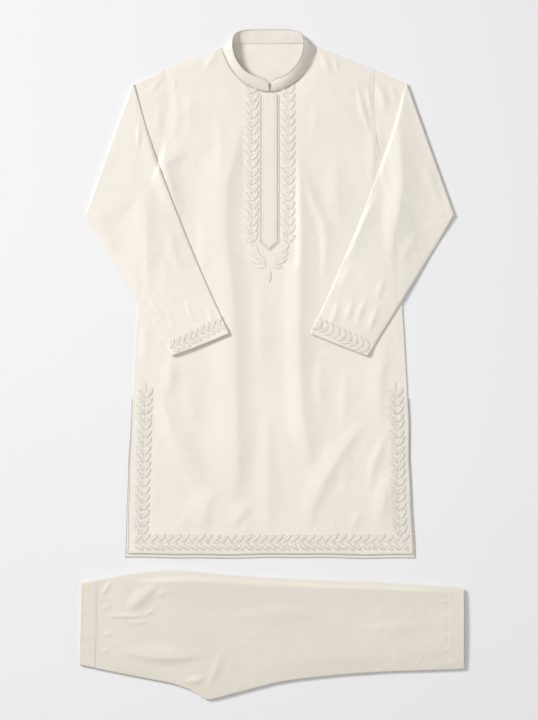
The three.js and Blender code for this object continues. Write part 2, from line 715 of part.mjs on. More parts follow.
function placketVine(side) {
  const route = new THREE.CatmullRomCurve3(STEM_ROWS.map(({ out, y }) => new THREE.Vector3(-out, y, 0)));
  const length = route.getLength();
  return vine(length, LEAVES.placket, (s, d) => {
    const spot = route.getPointAt(Math.min(1, s / length));
    const way = route.getTangentAt(Math.min(1, s / length));
    const x = PLACKET.x - side * (spot.x - way.y * d);
    const y = spot.y + way.x * d;
    return new THREE.Vector3(x, y, frontZ(x, y));
  });
}

// The single leaf that hangs under the placket's point.
function dropLeaf() {
  const long = DROP.top - DROP.foot;
  const half = (t) => DROP.half * Math.sin(Math.PI * t);
  const grid = (lift) =>
    steps(6).map((t) =>
      [-1, 1].map((lane) => {
        const x = PLACKET.x + lane * (0.4 + half(t));
        const y = DROP.foot + long * t;
        return new THREE.Vector3(x, y, frontZ(x, y) + lift);
      }),
    );
  return plate(grid(LEAF_LIFT + LEAF_THICK), grid(LEAF_LIFT));
}

// The slit borders follow the front's edge, which leans out towards the hem.
function slitVine(side) {
  const foot = FRONT_HEM + 30;
  return vine(SLIT_TOP - foot + 4, LEAVES.border, (s, d) => {
    const y = foot + s;
    const x = side * (read(BODY_ROWS, "y", "front", y) - BORDER_IN) - d;
    return new THREE.Vector3(x, y, frontZ(x, y));
  });
}

function hemVine() {
  const half = read(BODY_ROWS, "y", "front", FRONT_HEM) - BORDER_IN - 22;
  return vine(2 * half, LEAVES.border, onFront(-half, FRONT_HEM + BORDER_IN, 1, 0));
}

// A cuff's border lies on the folded sleeve, a little in from the cuff and parallel to it.
function cuffVine(side) {
  const width = overPlan(0, 1).distanceTo(overPlan(1, 1));
  const length = overPlan(0.5, 0).distanceTo(overPlan(0.5, 1));
  const margin = 7;
  return vine(width - 2 * margin, LEAVES.cuff, (s, d) => {
    const w = 1 - (margin + s) / width;
    const along = 1 - (CUFF_IN_FROM_EDGE + d) / length;
    return mirror(side)(sleeveTop(w, along));
  });
}

// The cord round a panel's open edges: down one slit, along the hem, and up the other.
// It follows the panel's own points, moved out.
function edgeCord(side, hem, rows, z) {
  const half = (y) => read(BODY_ROWS, "y", side, y);
  const heights = rows.map((up) => mix(hem, SHOULDER_TIP.y, up)).filter((y) => y <= SLIT_TOP);
  const down = heights.reverse().map((y) => [half(y) + CORD_OUT, y]);
  const turn = [30, 60].map((degrees) => {
    const angle = (degrees * Math.PI) / 180;
    return [half(hem) + CORD_OUT * Math.cos(angle), hem - CORD_OUT * Math.sin(angle)];
  });
  const right = [...down, ...turn, [half(hem), hem - CORD_OUT]];
  const left = [...right].reverse().map(([x, y]) => [-x, y]);
  const points = [...right, [0, hem - CORD_OUT], ...left].map(([x, y]) => new THREE.Vector3(x, y, z));
  return cord(points);
}

const kurta = new THREE.Group();
kurta.position.set(KURTA_AT.x, KURTA_AT.y, 0);
group.add(kurta);

piece(kurta, "kurta_back", backPanel(), "silk");
piece(kurta, "kurta_front", frontPanel(), "silk");
piece(kurta, "collar_band", collar(), "silk");
piece(kurta, "collar_top_cord", collarTopCord(), "cord");
piece(kurta, "collar_foot_cord", collarFootCord(), "cord");
piece(kurta, "placket_strip", placket(), "silk");
piece(kurta, "placket_inner_cord", placketCord(CORD_OUT), "cord");
piece(kurta, "placket_outer_cord", placketCord(PLACKET_CORD_OUT), "cord");
piece(kurta, "drop_leaf", dropLeaf(), "leaf");
piece(kurta, "hem_leaves", hemVine(), "leaf");
piece(kurta, "front_edge_cord", edgeCord("front", FRONT_HEM, FRONT_ROWS, PANEL_TOP + SEAM_GAP), "cord");
piece(kurta, "back_edge_cord", edgeCord("back", 0, BACK_ROWS, CORD_RADIUS + 0.15), "cord");
for (const [word, side] of [["left", -1], ["right", 1]]) {
  piece(kurta, `sleeve_${word}`, sleeve(side), "silk");
  piece(kurta, `cuff_cord_${word}`, cuffCord(side), "cord");
  piece(kurta, `cuff_leaves_${word}`, cuffVine(side), "leaf");
  piece(kurta, `placket_leaves_${word}`, placketVine(side), "leaf");
  piece(kurta, `slit_leaves_${word}`, slitVine(side), "leaf");
}

// Churidar

const churidar = new THREE.Group();
churidar.position.set(CHURIDAR_AT.x, CHURIDAR_AT.y, 0);
group.add(churidar);

const LEG_ACROSS = steps(6);
const LEG_STATIONS = [0, 40, 85, 130, 170, 200, 220, 232, 246, 270, 310, 370, 440, 530, 620, 700, 767];
const upperEdge = (x) => read(CHURIDAR_ROWS, "x", "upper", x);
const lowerEdge = (x) => read(CHURIDAR_ROWS, "x", "lower", x);

function legPoint(x, w, inset, z) {
  const upper = upperEdge(x) - inset;
  const lower = lowerEdge(x) + inset;
  const y = mix(upper, lower, w);
  const lean = 1 - smooth(x / 200);
  return new THREE.Vector3(x + y * WAIST_SLANT * lean, y, z);
}

// The near leg: a flattened tube that is open at the waist and at the ankle.
function nearLeg() {
  const bottom = LAYER_PAIR + SEAM_GAP;
  const thickness = (x, w) => mix(LEG_FLAT, LEG_FULL, Math.sin(Math.PI * w) ** 0.6 * smooth((x - 5) / 60));
  const ring = (x, wall) => {
    const corner = wall ? wall + 0.8 : 1.2;
    const inset = (w) => (w === 0 || w === 1 ? corner : wall);
    const above = (w) => legPoint(x, w, inset(w), bottom + thickness(x, w) - wall);
    const below = (w) => legPoint(x, w, inset(w), bottom + wall);
    return [
      ...LEG_ACROSS.map(above),
      legPoint(x, 1, wall, bottom + LEG_FLAT / 2),
      ...[...LEG_ACROSS].reverse().map(below),
      legPoint(x, 0, wall, bottom + LEG_FLAT / 2),
    ];
  };
  const rings = (wall) => LEG_STATIONS.map((x) => ring(WAISTBAND + SEAM_GAP + x, wall));
  return tube(rings(0), rings(CLOTH));
}

// The far leg lies hidden: two layers in one solid, with a groove between them at the edge.
function farLeg() {
  const groove = 1.6;
  const profile = [
    { z: LAYER_PAIR, inset: 1.0 },
    { z: LAYER_PAIR * 0.75, inset: 0 },
    { z: LAYER_PAIR * 0.5, inset: groove },
    { z: LAYER_PAIR * 0.25, inset: 0 },
    { z: 0, inset: 0.8 },
  ];
  const stations = LEG_STATIONS.map((x) => WAISTBAND + SEAM_GAP + x * 0.996);
  const upper = stations.map((x) => profile.map((p) => legPoint(x, 0, FAR_INSET + p.inset, p.z)));
  const lower = stations.map((x) => profile.map((p) => legPoint(x, 1, FAR_INSET + p.inset, p.z)));
  return plate(upper, lower);
}

// The waistband is one loop folded in half: four layers, with its end folds at the upper
// edge, and the centre back wrapped round the centre front at the lower edge.
function waistband() {
  const t = BAND_CLOTH;
  const gap = LAYER_PAIR - 2 * t;
  const low = lowerEdge(WAISTBAND / 2);
  const high = upperEdge(WAISTBAND / 2);
  const halfway = LAYER_PAIR + SEAM_GAP;
  const full = halfway + LAYER_PAIR;
  const round = 1.1;
  const outline = [
    [low + round, 0], [high - round, 0], [high, round], [high, LAYER_PAIR - 0.8], [high - 0.8, LAYER_PAIR],
    [low + 2 * t + gap, LAYER_PAIR], [low + 2 * t + gap, halfway], [high - 0.8, halfway],
    [high, halfway + 0.8], [high, full - round], [high - round, full], [low + round, full],
    [low, full - round], [low, round],
  ];
  const hollow = [
    [low + t, t], [low + t, full - t], [high - t, full - t], [high - t, halfway + t],
    [low + t + gap, halfway + t], [low + t + gap, LAYER_PAIR - t],
    [high - t, LAYER_PAIR - t], [high - t, t],
  ];
  const shape = new THREE.Shape(outline.map(([y, z]) => new THREE.Vector2(y, z)));
  shape.holes.push(new THREE.Path(hollow.map(([y, z]) => new THREE.Vector2(y, z))));
  const geometry = new THREE.ExtrudeGeometry(shape, { depth: WAISTBAND, steps: 1, bevelEnabled: false });
  const place = geometry.attributes.position;
  const centre = (low + high) / 2;
  for (let i = 0; i < place.count; i++) {
    const y = place.getX(i);
    const x = place.getZ(i);
    const flare = ((upperEdge(x) - lowerEdge(x)) / (high - low) - 1) * (y - centre);
    const spread = y + flare + (upperEdge(x) + lowerEdge(x)) / 2 - centre;
    place.setXYZ(i, x + y * WAIST_SLANT, spread, place.getY(i));
  }
  return geometry;
}

piece(churidar, "leg_far", farLeg(), "trouser");
piece(churidar, "leg_near", nearLeg(), "trouser");
piece(churidar, "waistband", waistband(), "trouser");

// The origin is under the middle of the set.
group.updateMatrixWorld(true);
const box = new THREE.Box3().setFromObject(group, true);
group.position.set(-(box.min.x + box.max.x) / 2, -(box.min.y + box.max.y) / 2, 0);

export default group;
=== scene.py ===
# %% [markdown]
# # A kurta and its churidar, laid flat
# The kurta lies face up with both sleeves folded in over the front, and the churidar
# lies below it on its side. The rigid model gives the size and the place of every piece.
# Here each piece is made again as thin cloth, with its folds, piping and stitched leaves.

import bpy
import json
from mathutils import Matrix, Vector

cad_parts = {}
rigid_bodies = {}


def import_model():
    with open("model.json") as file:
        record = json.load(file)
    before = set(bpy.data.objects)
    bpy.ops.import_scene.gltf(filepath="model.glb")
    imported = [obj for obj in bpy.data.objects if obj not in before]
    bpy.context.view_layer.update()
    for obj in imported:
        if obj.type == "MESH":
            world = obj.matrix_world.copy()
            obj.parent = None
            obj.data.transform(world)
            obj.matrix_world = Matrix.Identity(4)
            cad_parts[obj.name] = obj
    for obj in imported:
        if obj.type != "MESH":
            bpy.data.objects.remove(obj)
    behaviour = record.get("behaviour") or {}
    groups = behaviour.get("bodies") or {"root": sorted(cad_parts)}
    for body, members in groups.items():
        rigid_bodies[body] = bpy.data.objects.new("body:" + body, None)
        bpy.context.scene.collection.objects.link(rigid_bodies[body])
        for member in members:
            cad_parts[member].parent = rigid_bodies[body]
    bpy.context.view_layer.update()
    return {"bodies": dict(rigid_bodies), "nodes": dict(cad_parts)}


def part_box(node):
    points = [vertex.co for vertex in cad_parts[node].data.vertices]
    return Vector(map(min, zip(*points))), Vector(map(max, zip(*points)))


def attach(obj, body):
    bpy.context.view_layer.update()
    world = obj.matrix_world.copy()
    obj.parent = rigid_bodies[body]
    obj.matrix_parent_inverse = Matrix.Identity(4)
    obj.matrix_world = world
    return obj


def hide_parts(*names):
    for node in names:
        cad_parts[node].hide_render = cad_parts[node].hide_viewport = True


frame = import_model()

import json
import math
from collections import namedtuple

import bpy
import numpy as np
from mathutils import Vector

BODY = next(iter(frame["bodies"]))
MM = 0.001
SIDES = {"left": -1, "right": 1}  # as the picture shows them
print("nodes", len(frame["nodes"]), "body", BODY)

# %% [markdown]
# ## Where things lie
# The two garments are drawn in millimetres, each from its own corner: the kurta from the
# middle of its back hem, and the churidar from its waist edge. The frame says where
# those corners are. The photograph's scale turns one of its pixels into millimetres.

# %% The photograph's scale, and the two garments' own corners
PHOTO_WIDTH, PHOTO_HEIGHT = 538, 720
MM_PER_PIXEL = 2.09
CENTRE_PIXEL = (271.7, 364.0)  # where the middle of the set is in the photograph
LEG_END = 799.8  # from the waist edge to the leg's hem
CHURIDAR_DOWN = 149.0  # from the kurta's hem to the churidar's middle line
low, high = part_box("kurta_back")
KURTA_AT = np.array([(low[0] + high[0]) / 2, low[1], 0.0])
low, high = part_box("leg_near")
CHURIDAR_AT = np.array([high[0] - LEG_END * MM, KURTA_AT[1] - CHURIDAR_DOWN * MM, 0.0])
print("kurta at", KURTA_AT.round(4), "churidar at", CHURIDAR_AT.round(4))


# %% Small helpers for numbers
def mix(a, b, t):
    return a + (b - a) * t


def smooth(t):
    c = np.clip(t, 0.0, 1.0)
    return c * c * (3 - 2 * c)


def inside(w, rate):
    """0 on both edges of a width that goes from 0 to 1, and 1 well inside it."""
    return smooth(np.minimum(w, 1 - w) * rate)


def bell(at, place, width):
    """1 at a place, and nearly 0 from two widths away."""
    return np.exp(-(((at - place) / width) ** 2))


def xyz(*parts):
    """Points from coordinates of any shapes that fit together."""
    return np.stack(np.broadcast_arrays(*parts), -1)


def unit(v):
    return v / np.linalg.norm(v, axis=-1, keepdims=True)


def read(table, key, column, at):
    """A column of a table at a place, on a smooth curve through its rows."""
    ks, vs = np.array(table[key], float), np.array(table[column], float)
    last = len(ks) - 1
    before, after = np.maximum(np.arange(last + 1) - 1, 0), np.minimum(np.arange(last + 1) + 1, last)
    slope = (vs[after] - vs[before]) / (ks[after] - ks[before])
    i = np.clip(np.searchsorted(ks, at, side="right") - 1, 0, last - 1)
    span = ks[i + 1] - ks[i]
    t = np.clip((at - ks[i]) / span, 0, 1)
    bend = t * (1 - t) * span
    return mix(vs[i], vs[i + 1], t * t * (3 - 2 * t)) + bend * ((1 - t) * slope[i] - t * slope[i + 1])


def distances(line):
    """How far along a line each of its points is."""
    return np.concatenate([[0], np.cumsum(np.linalg.norm(np.diff(line, axis=0), axis=1))])


def girths(rings):
    """How far round its ring the next point after each one is."""
    return np.cumsum(np.linalg.norm(np.diff(rings, axis=1, append=rings[:, :1]), axis=2), axis=1)


def spaced(line, count):
    """The same line with evenly spaced points."""
    far = distances(line)
    at = np.linspace(0, far[-1], count)
    return np.stack([np.interp(at, far, column) for column in line.T], axis=1)


def spline(points, count):
    """Evenly spaced points on a smooth curve through a few others."""
    p = np.array(points, float)
    p = np.vstack([2 * p[0] - p[1], p, 2 * p[-1] - p[-2]])
    t = np.linspace(0, 1, 24, endpoint=False)[:, None]
    parts = [
        0.5 * (2 * b + (c - a) * t + (2 * a - 5 * b + 4 * c - d) * t**2 + (3 * b - a - 3 * c + d) * t**3)
        for a, b, c, d in zip(p[:-3], p[1:-2], p[2:-1], p[3:])
    ]
    return spaced(np.vstack([*parts, p[-2:-1]]), count)


# %% [markdown]
# ## Folds
# Cloth that lies on a table has soft folds that are never even. Each one is written down
# as a route with two widths: a slow rise on the side of the light, and a steeper fall on
# the other side, which the light leaves darker. Widths and heights are in millimetres.
# Most routes are noted in pixels of the photograph, and turned into the garment's
# millimetres. All folds together make one relief, and what lies on the cloth reads its
# height from it.

# %% Folds as ridges with a slow and a steep side
Fold = namedtuple("Fold", "rise fall height route")
ROUTE_POINTS = 20
END_FADE = 130.0  # a fold runs out over this much of its route, or over half of it
END_WIDTH = 0.4  # and gets narrower, to this share of its widths
WAVES = 6  # waves that make up one waviness
ABOUT_A_TURN = 6.28


def placed(folds, at):
    """The same folds with their routes in the millimetres of the garment that starts at a place."""
    scale = [MM_PER_PIXEL, -MM_PER_PIXEL]
    return [f._replace(route=(np.array(f.route, float) - CENTRE_PIXEL) * scale - at[:2] / MM) for f in folds]


def ridge(fold, x, y):
    """Height of one fold over the plan. Its steep side is on the left of its route."""
    route = spline(fold.route, ROUTE_POINTS)
    nearest = np.full(x.shape, np.inf)
    side, share = np.zeros(x.shape), np.zeros(x.shape)
    for i, (a, b) in enumerate(zip(route[:-1], route[1:])):
        d = b - a
        t = np.clip(((x - a[0]) * d[0] + (y - a[1]) * d[1]) / (d @ d), 0, 1)
        dx, dy = x - (a[0] + t * d[0]), y - (a[1] + t * d[1])
        far = dx * dx + dy * dy
        closer = far < nearest
        nearest = np.where(closer, far, nearest)
        side = np.where(closer, d[0] * dy - d[1] * dx, side)
        share = np.where(closer, (i + t) / (ROUTE_POINTS - 1), share)
    fade = min(0.5, END_FADE / distances(route)[-1])
    ends = smooth(share / fade) * smooth((1 - share) / fade)
    u = np.copysign(np.sqrt(nearest), side) / mix(END_WIDTH, 1, ends)
    steep = (1 - np.clip(u / fold.fall, 0, 1)) ** 1.7
    return fold.height * np.where(u < 0, smooth(1 + u / fold.rise), steep) * ends


def ridges(folds, x, y):
    """All folds together, each worked out only near its own route."""
    total = np.zeros(x.shape)
    for fold in folds:
        reach = max(fold.rise, fold.fall) + 20
        low, high = np.min(fold.route, axis=0) - reach, np.max(fold.route, axis=0) + reach
        near = (x > low[0]) & (x < high[0]) & (y > low[1]) & (y < high[1])
        if near.any():
            total[near] += ridge(fold, x[near], y[near])
    return total


def ripple(x, y, length, seed):
    """A low, wandering waviness between -1 and 1, with waves of about the given length."""
    rng = np.random.default_rng(seed)
    total = np.zeros(np.shape(x))
    for _ in range(WAVES):
        turn, phase, scale = rng.uniform(0, math.pi), rng.uniform(0, ABOUT_A_TURN), rng.uniform(0.7, 1.5)
        across = x * math.cos(turn) + y * math.sin(turn)
        total = total + np.sin(across * ABOUT_A_TURN / (length * scale) + phase)
    return total / 4


def crumple(x, y, length, seed):
    """Small sharp wrinkles between 0 and 1, with ridges where a waviness crosses zero."""
    wave = ripple(x, y, length, seed) + 0.6 * ripple(x, y, length * 0.55, seed + 50)
    patches = smooth(0.5 + 0.6 * ripple(x, y, length * 4, seed + 90))
    return np.maximum(0, 1 - 1.6 * np.abs(wave)) ** 1.5 * patches


class Relief:
    """Heights over a rectangle of the plan, worked out once and read between grid points."""

    def __init__(self, x_range, y_range, step, height):
        self.low, self.step = (x_range[0], y_range[0]), step
        xs, ys = (np.arange(low, high + step, step) for low, high in (x_range, y_range))
        self.z = height(*np.meshgrid(xs, ys))

    def __call__(self, x, y):
        rows, columns = self.z.shape
        u = np.clip((np.asarray(x) - self.low[0]) / self.step, 0, columns - 1.001)
        v = np.clip((np.asarray(y) - self.low[1]) / self.step, 0, rows - 1.001)
        i, j = v.astype(int), u.astype(int)
        fu, fv = u - j, v - i
        top = mix(self.z[i + 1, j], self.z[i + 1, j + 1], fu)
        return mix(mix(self.z[i, j], self.z[i, j + 1], fu), top, fv)


# %% [markdown]
# ## Cloth as a closed shell
# A real panel has two faces and a thickness. A grid of points for the upper face and one
# for the lower face, joined round their border, make a closed shell with its faces
# pointing out. A tube is the same thing rolled up: rings outside, rings inside. Every
# shell carries a map of the cloth in metres, so that the weave follows the cloth.

# %% Meshes from grids of points
CREASE = math.radians(38)
TURNED = [0, 3, 2, 1]  # a face's corners the other way round, from the same corner
TURNED_NEXT = [1, 0, 3, 2]  # the same from its next corner


def show(name, data):
    """A new object in the scene."""
    made = bpy.data.objects.new(name, data)
    bpy.context.scene.collection.objects.link(made)
    return made


def build(name, grids, faces, uv, at, material):
    """A piece from two grids of points in a garment's own millimetres, its faces outwards."""
    place = np.concatenate([grid.reshape(-1, 3) for grid in grids]) * MM + at
    faces = np.concatenate(faces)
    a, b, c, d = (place[faces[:, k]] for k in range(4))
    six_volumes = (np.cross(a, b) * c).sum() + (np.cross(a, c) * d).sum()
    if six_volumes < 0:
        faces = faces[:, ::-1]
    corners = faces.ravel()
    mesh = bpy.data.meshes.new(name)
    mesh.vertices.add(len(place))
    mesh.vertices.foreach_set("co", place.ravel())
    mesh.loops.add(corners.size)
    mesh.loops.foreach_set("vertex_index", corners)
    mesh.polygons.add(len(faces))
    mesh.polygons.foreach_set("loop_start", np.arange(0, corners.size, 4))
    mesh.update(calc_edges=True)
    both = np.tile(uv.reshape(-1, 2) * MM, (2, 1))
    mesh.uv_layers.new(name="cloth").data.foreach_set("uv", both[corners].ravel())
    mesh.shade_smooth()
    mesh.set_sharp_from_angle(angle=CREASE)
    mesh.materials.append(material)
    return show(name, mesh)


def quads(n):
    """Faces between the neighbours in a grid of point numbers."""
    return np.stack([n[:-1, :-1], n[:-1, 1:], n[1:, 1:], n[1:, :-1]], -1).reshape(-1, 4)


def shell(name, top, bottom, uv, at, material):
    """A closed shell between two grids of points, rows by columns by xyz."""
    n = np.arange(top[..., 0].size).reshape(top.shape[:2])
    border = np.concatenate([n[0, :-1], n[:-1, -1], n[-1, :0:-1], n[:0:-1, 0], n[0, :1]])
    rim = quads(np.stack([border, border + n.size]))[:, TURNED_NEXT]
    return build(name, (top, bottom), [quads(n), quads(n + n.size)[:, TURNED], rim], uv, at, material)


def tube(name, outer, inner, uv, at, material):
    """An open tube with a wall, from outer and inner rings: stations by points by xyz."""
    n = np.arange(outer[..., 0].size).reshape(outer.shape[:2])
    within = n + n.size
    n, within = (np.concatenate([rows, rows[:, :1]], axis=1) for rows in (n, within))
    first, last = (quads(np.stack([n[end], within[end]])) for end in (0, -1))
    faces = [quads(n)[:, TURNED], quads(within), first, last[:, TURNED_NEXT]]
    return build(name, (outer, inner), faces, uv, at, material)


def finish_piece(piece, slot, *nodes):
    """The piece rides on the set's one body, and stands for its rigid nodes if it has any."""
    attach(piece, BODY)
    if nodes:
        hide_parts(*nodes)
    print(piece.name, "faces", len(piece.data.polygons), "for", nodes)


# %% [markdown]
# ## Writing node trees as sums
# A shader or a geometry tree is easier to read as a formula. The small class below wraps
# a socket, and each operator adds the Math node that does the sum. Any other node comes
# from one method, which takes its kind, what goes into its sockets and its settings.

# %% A socket that takes part in sums
def math_node(operation):
    """A method that adds the Math node of an operation, with its terms as inputs."""
    return lambda *terms: terms[0].net.node("ShaderNodeMath", dict(enumerate(terms)), operation=operation)


class Val:
    """An output socket of a node tree, for use in Python expressions."""

    __add__ = math_node("ADD")
    __sub__ = math_node("SUBTRACT")
    __mul__ = math_node("MULTIPLY")
    __truediv__ = math_node("DIVIDE")
    __pow__ = math_node("POWER")
    sine = math_node("SINE")
    size = math_node("ABSOLUTE")
    most = math_node("MAXIMUM")

    def __init__(self, net, socket):
        self.net, self.socket = net, socket

    def out(self, name):
        """Another output of the same node."""
        return Val(self.net, self.socket.node.outputs[name])


class Net:
    """A node tree that is being built."""

    def __init__(self, tree):
        self.tree = tree

    def put(self, socket, value):
        if isinstance(value, Val):
            self.tree.links.new(value.socket, socket)
        elif value is not None:
            socket.default_value = value

    def node(self, kind, values=None, out=0, **settings):
        """A node of a kind. Its settings come first, then its sockets' values or links."""
        made = self.tree.nodes.new(kind)
        for name, value in settings.items():
            setattr(made, name, value)
        for name, value in (values or {}).items():
            self.put(made.inputs[name], value)
        return Val(self, made.outputs[out]) if len(made.outputs) else None

    def vector(self, x, y, z):
        return self.node("ShaderNodeCombineXYZ", {"X": x, "Y": y, "Z": z})

    def noise(self, place, scale, detail):
        return self.node("ShaderNodeTexNoise", {"Vector": place, "Scale": scale, "Detail": detail})

    def blend(self, share, dark, light):
        """A colour between two others."""
        return self.node("ShaderNodeMix", {0: share, 6: (*dark, 1.0), 7: (*light, 1.0)}, 2, data_type="RGBA")

    def bump(self, strength, depth, height):
        return self.node("ShaderNodeBump", {"Strength": strength, "Distance": depth, "Height": height})


# %% [markdown]
# ## The cloth's finish
# The kurta is an ivory silk and cotton cloth: smooth, slightly warm, with a soft sheen.
# Up close it has a plain weave and, now and then, a thicker thread. The weave is a bump
# from two crossed waves on the cloth's own map, and slow noise shifts the tone a little,
# so that no two places are quite alike. Sheen is set on the shader's own socket.

# %% Cloth materials
WEAVE = 0.00085  # from one thread to the next, in metres
WEAVE_BUMP = 0.8


def new_material(name):
    material = bpy.data.materials.new(name)
    material.use_nodes = True
    material.node_tree.nodes.clear()
    return material, Net(material.node_tree)


def end_material(net, colour, roughness, sheen, specular, bump=None):
    shader = net.node("ShaderNodeBsdfPrincipled", {
        "Base Color": colour, "Roughness": roughness, "Normal": bump,
        "Sheen Weight": sheen, "Sheen Roughness": 0.4, "Specular IOR Level": specular,
    })
    net.node("ShaderNodeOutputMaterial", {"Surface": shader})


def woven(name, light, dark, roughness, depth, sheen, specular):
    """A plain-woven cloth: two crossed waves, thicker threads here and there, uneven tone."""
    material, net = new_material(name)
    cloth_map = net.node("ShaderNodeUVMap", out="UV", uv_map="cloth")
    across = net.node("ShaderNodeSeparateXYZ", {0: cloth_map}, "X")
    along = across.out("Y")
    turns = 2 * math.pi / WEAVE
    checker = (across * turns).sine() * (along * turns).sine() * 0.5 + 0.5
    slub = net.noise(net.vector(across * 25, along * 900, None), 1.0, 2.0)
    place = net.node("ShaderNodeTexCoord", out="Object")
    tone = net.noise(place, 5.0, 3.0)
    fleck = net.noise(place, 260.0, 2.0)
    share = (tone - 0.5) * 1.1 + (slub - 0.5) * 0.9 + (fleck - 0.5) * 0.8 + (checker - 0.5) * 0.25 + 0.5
    bump = net.bump(WEAVE_BUMP, depth, checker * 0.6 + slub * 1.1)
    rough = (slub - 0.5) * 0.16 + (tone - 0.5) * 0.10 + roughness
    end_material(net, net.blend(share, dark, light), rough, sheen, specular, bump)
    return material


def thread(name, light, dark, roughness, sheen):
    """Silk thread: smooth and glossy, with a fine grain and slightly uneven dye."""
    material, net = new_material(name)
    place = net.node("ShaderNodeTexCoord", out="Object")
    tone = net.noise(place, 180.0, 2.0)
    bump = net.bump(0.3, 0.00008, net.noise(place, 2600.0, 1.0))
    colour = net.blend((tone - 0.5) * 1.6 + 0.5, dark, light)
    end_material(net, colour, (tone - 0.5) * 0.2 + roughness, sheen, 0.5, bump)
    return material


SILK = woven("ivory_silk_cotton", (0.845, 0.80, 0.73), (0.77, 0.737, 0.657), 0.52, 0.00012, 0.25, 0.35)
BAND_SILK = woven("collar_silk", (0.825, 0.785, 0.71), (0.77, 0.725, 0.65), 0.5, 0.00012, 0.2, 0.35)
TROUSER = woven("churidar_cloth", (0.785, 0.74, 0.655), (0.71, 0.675, 0.59), 0.62, 0.00016, 0.2, 0.3)
LEAF_THREAD = thread("satin_stitch_thread", (0.87, 0.83, 0.77), (0.76, 0.72, 0.66), 0.34, 0.25)
# A lighter copy of the leaf thread for the chest borders: its colour is partly a painted highlight, standing
# in for the sheen on those satin stitches.
CHEST_THREAD_PAINTED_HIGHLIGHT = thread("chest_satin_thread_painted_highlight", (0.91, 0.88, 0.82), (0.80, 0.77, 0.71), 0.34, 0.25)
SEAM_THREAD = thread("seam_thread", (0.80, 0.765, 0.69), (0.71, 0.675, 0.60), 0.5, 0.1)
PIPING = thread("silver_grey_piping", (0.70, 0.675, 0.63), (0.55, 0.525, 0.49), 0.42, 0.2)
# Partly painted light: the placket's piping is a paler grey of its own, lightened further so that the shadow
# beside its cords reads less dark.
PALE_PIPING_PAINTED_LIGHT = thread("pale_grey_piping_painted_light", (0.81, 0.78, 0.725), (0.70, 0.67, 0.62), 0.42, 0.2)
# Painted highlight: the cuff piping's colour is painted near white, brighter than the other piping, to look
# lit from above.
CUFF_PIPING_PAINTED_HIGHLIGHT = thread("cuff_piping_painted_highlight", (0.90, 0.87, 0.79), (0.80, 0.77, 0.69), 0.42, 0.2)
print("materials", len(bpy.data.materials))

# %% [markdown]
# ## The kurta's outline
# A kurta is cut from straight pieces: the front and back widen evenly from the armhole
# to the hem, and are open along the slits at the sides. The tables give half the width
# at a height above the back hem, and the neckline, as the rigid model has them.

# %% The outline of the body
LENGTH = 1065.0
FRONT_HEM = 7.5
SLIT_TOP = 336.0
UNDERARM, UNDERARM_HALF = 771.0, 260.0
SHOULDER_HALF, SHOULDER_Y = 220.0, 1018.0
NECK_HALF = 101.0
BACK_NECK_Y, FRONT_NECK_Y = 1074.0, 971.0
BACK_NECK_FLAT = 62.0  # half of the level stretch at the back of the neck
WIDTHS = {
    "y": [0, 160, SLIT_TOP, 530, UNDERARM, 834, 899, 960, SHOULDER_Y],
    "front": [297, 291.5, 286.5, 276, UNDERARM_HALF, 233, 221, 218.5, SHOULDER_HALF],
    "back": [301.5, 294.5, 287, 276, UNDERARM_HALF, 233, 221, 218.5, SHOULDER_HALF],
}
NECKLINE = {
    "half": [0, 31.5, 57, 80, 94.5, NECK_HALF],
    "y": [FRONT_NECK_Y, 977.5, 993.5, 1020, 1048, LENGTH],
}
CLOTH = 0.9  # one layer of cloth as drawn here
BACK_TOP = 1.15  # top of the back where it lies on the ground
PANEL_TOP = 2.7  # top of the front where no fold lifts it


def half_width(side, y):
    return read(WIDTHS, "y", side, np.minimum(y, SHOULDER_Y))


def front_top(x):
    half = np.abs(x)
    shoulder = mix(LENGTH, SHOULDER_Y, (half - NECK_HALF) / (SHOULDER_HALF - NECK_HALF))
    return np.where(half < NECK_HALF, read(NECKLINE, "half", "y", half), shoulder)


def back_top(x):
    half = np.abs(x)
    neck = mix(BACK_NECK_Y, LENGTH, smooth((half - BACK_NECK_FLAT) / (NECK_HALF - BACK_NECK_FLAT)))
    return np.where(half > NECK_HALF, front_top(x), neck)


# %% [markdown]
# ## The folds of the front
# These are the folds that the light picks out on the front, from the collar down. Two
# long ones hang from the chest, one on each side of the placket. Slanting ones run from
# the slits towards the hem, and short ones gather at the armholes.

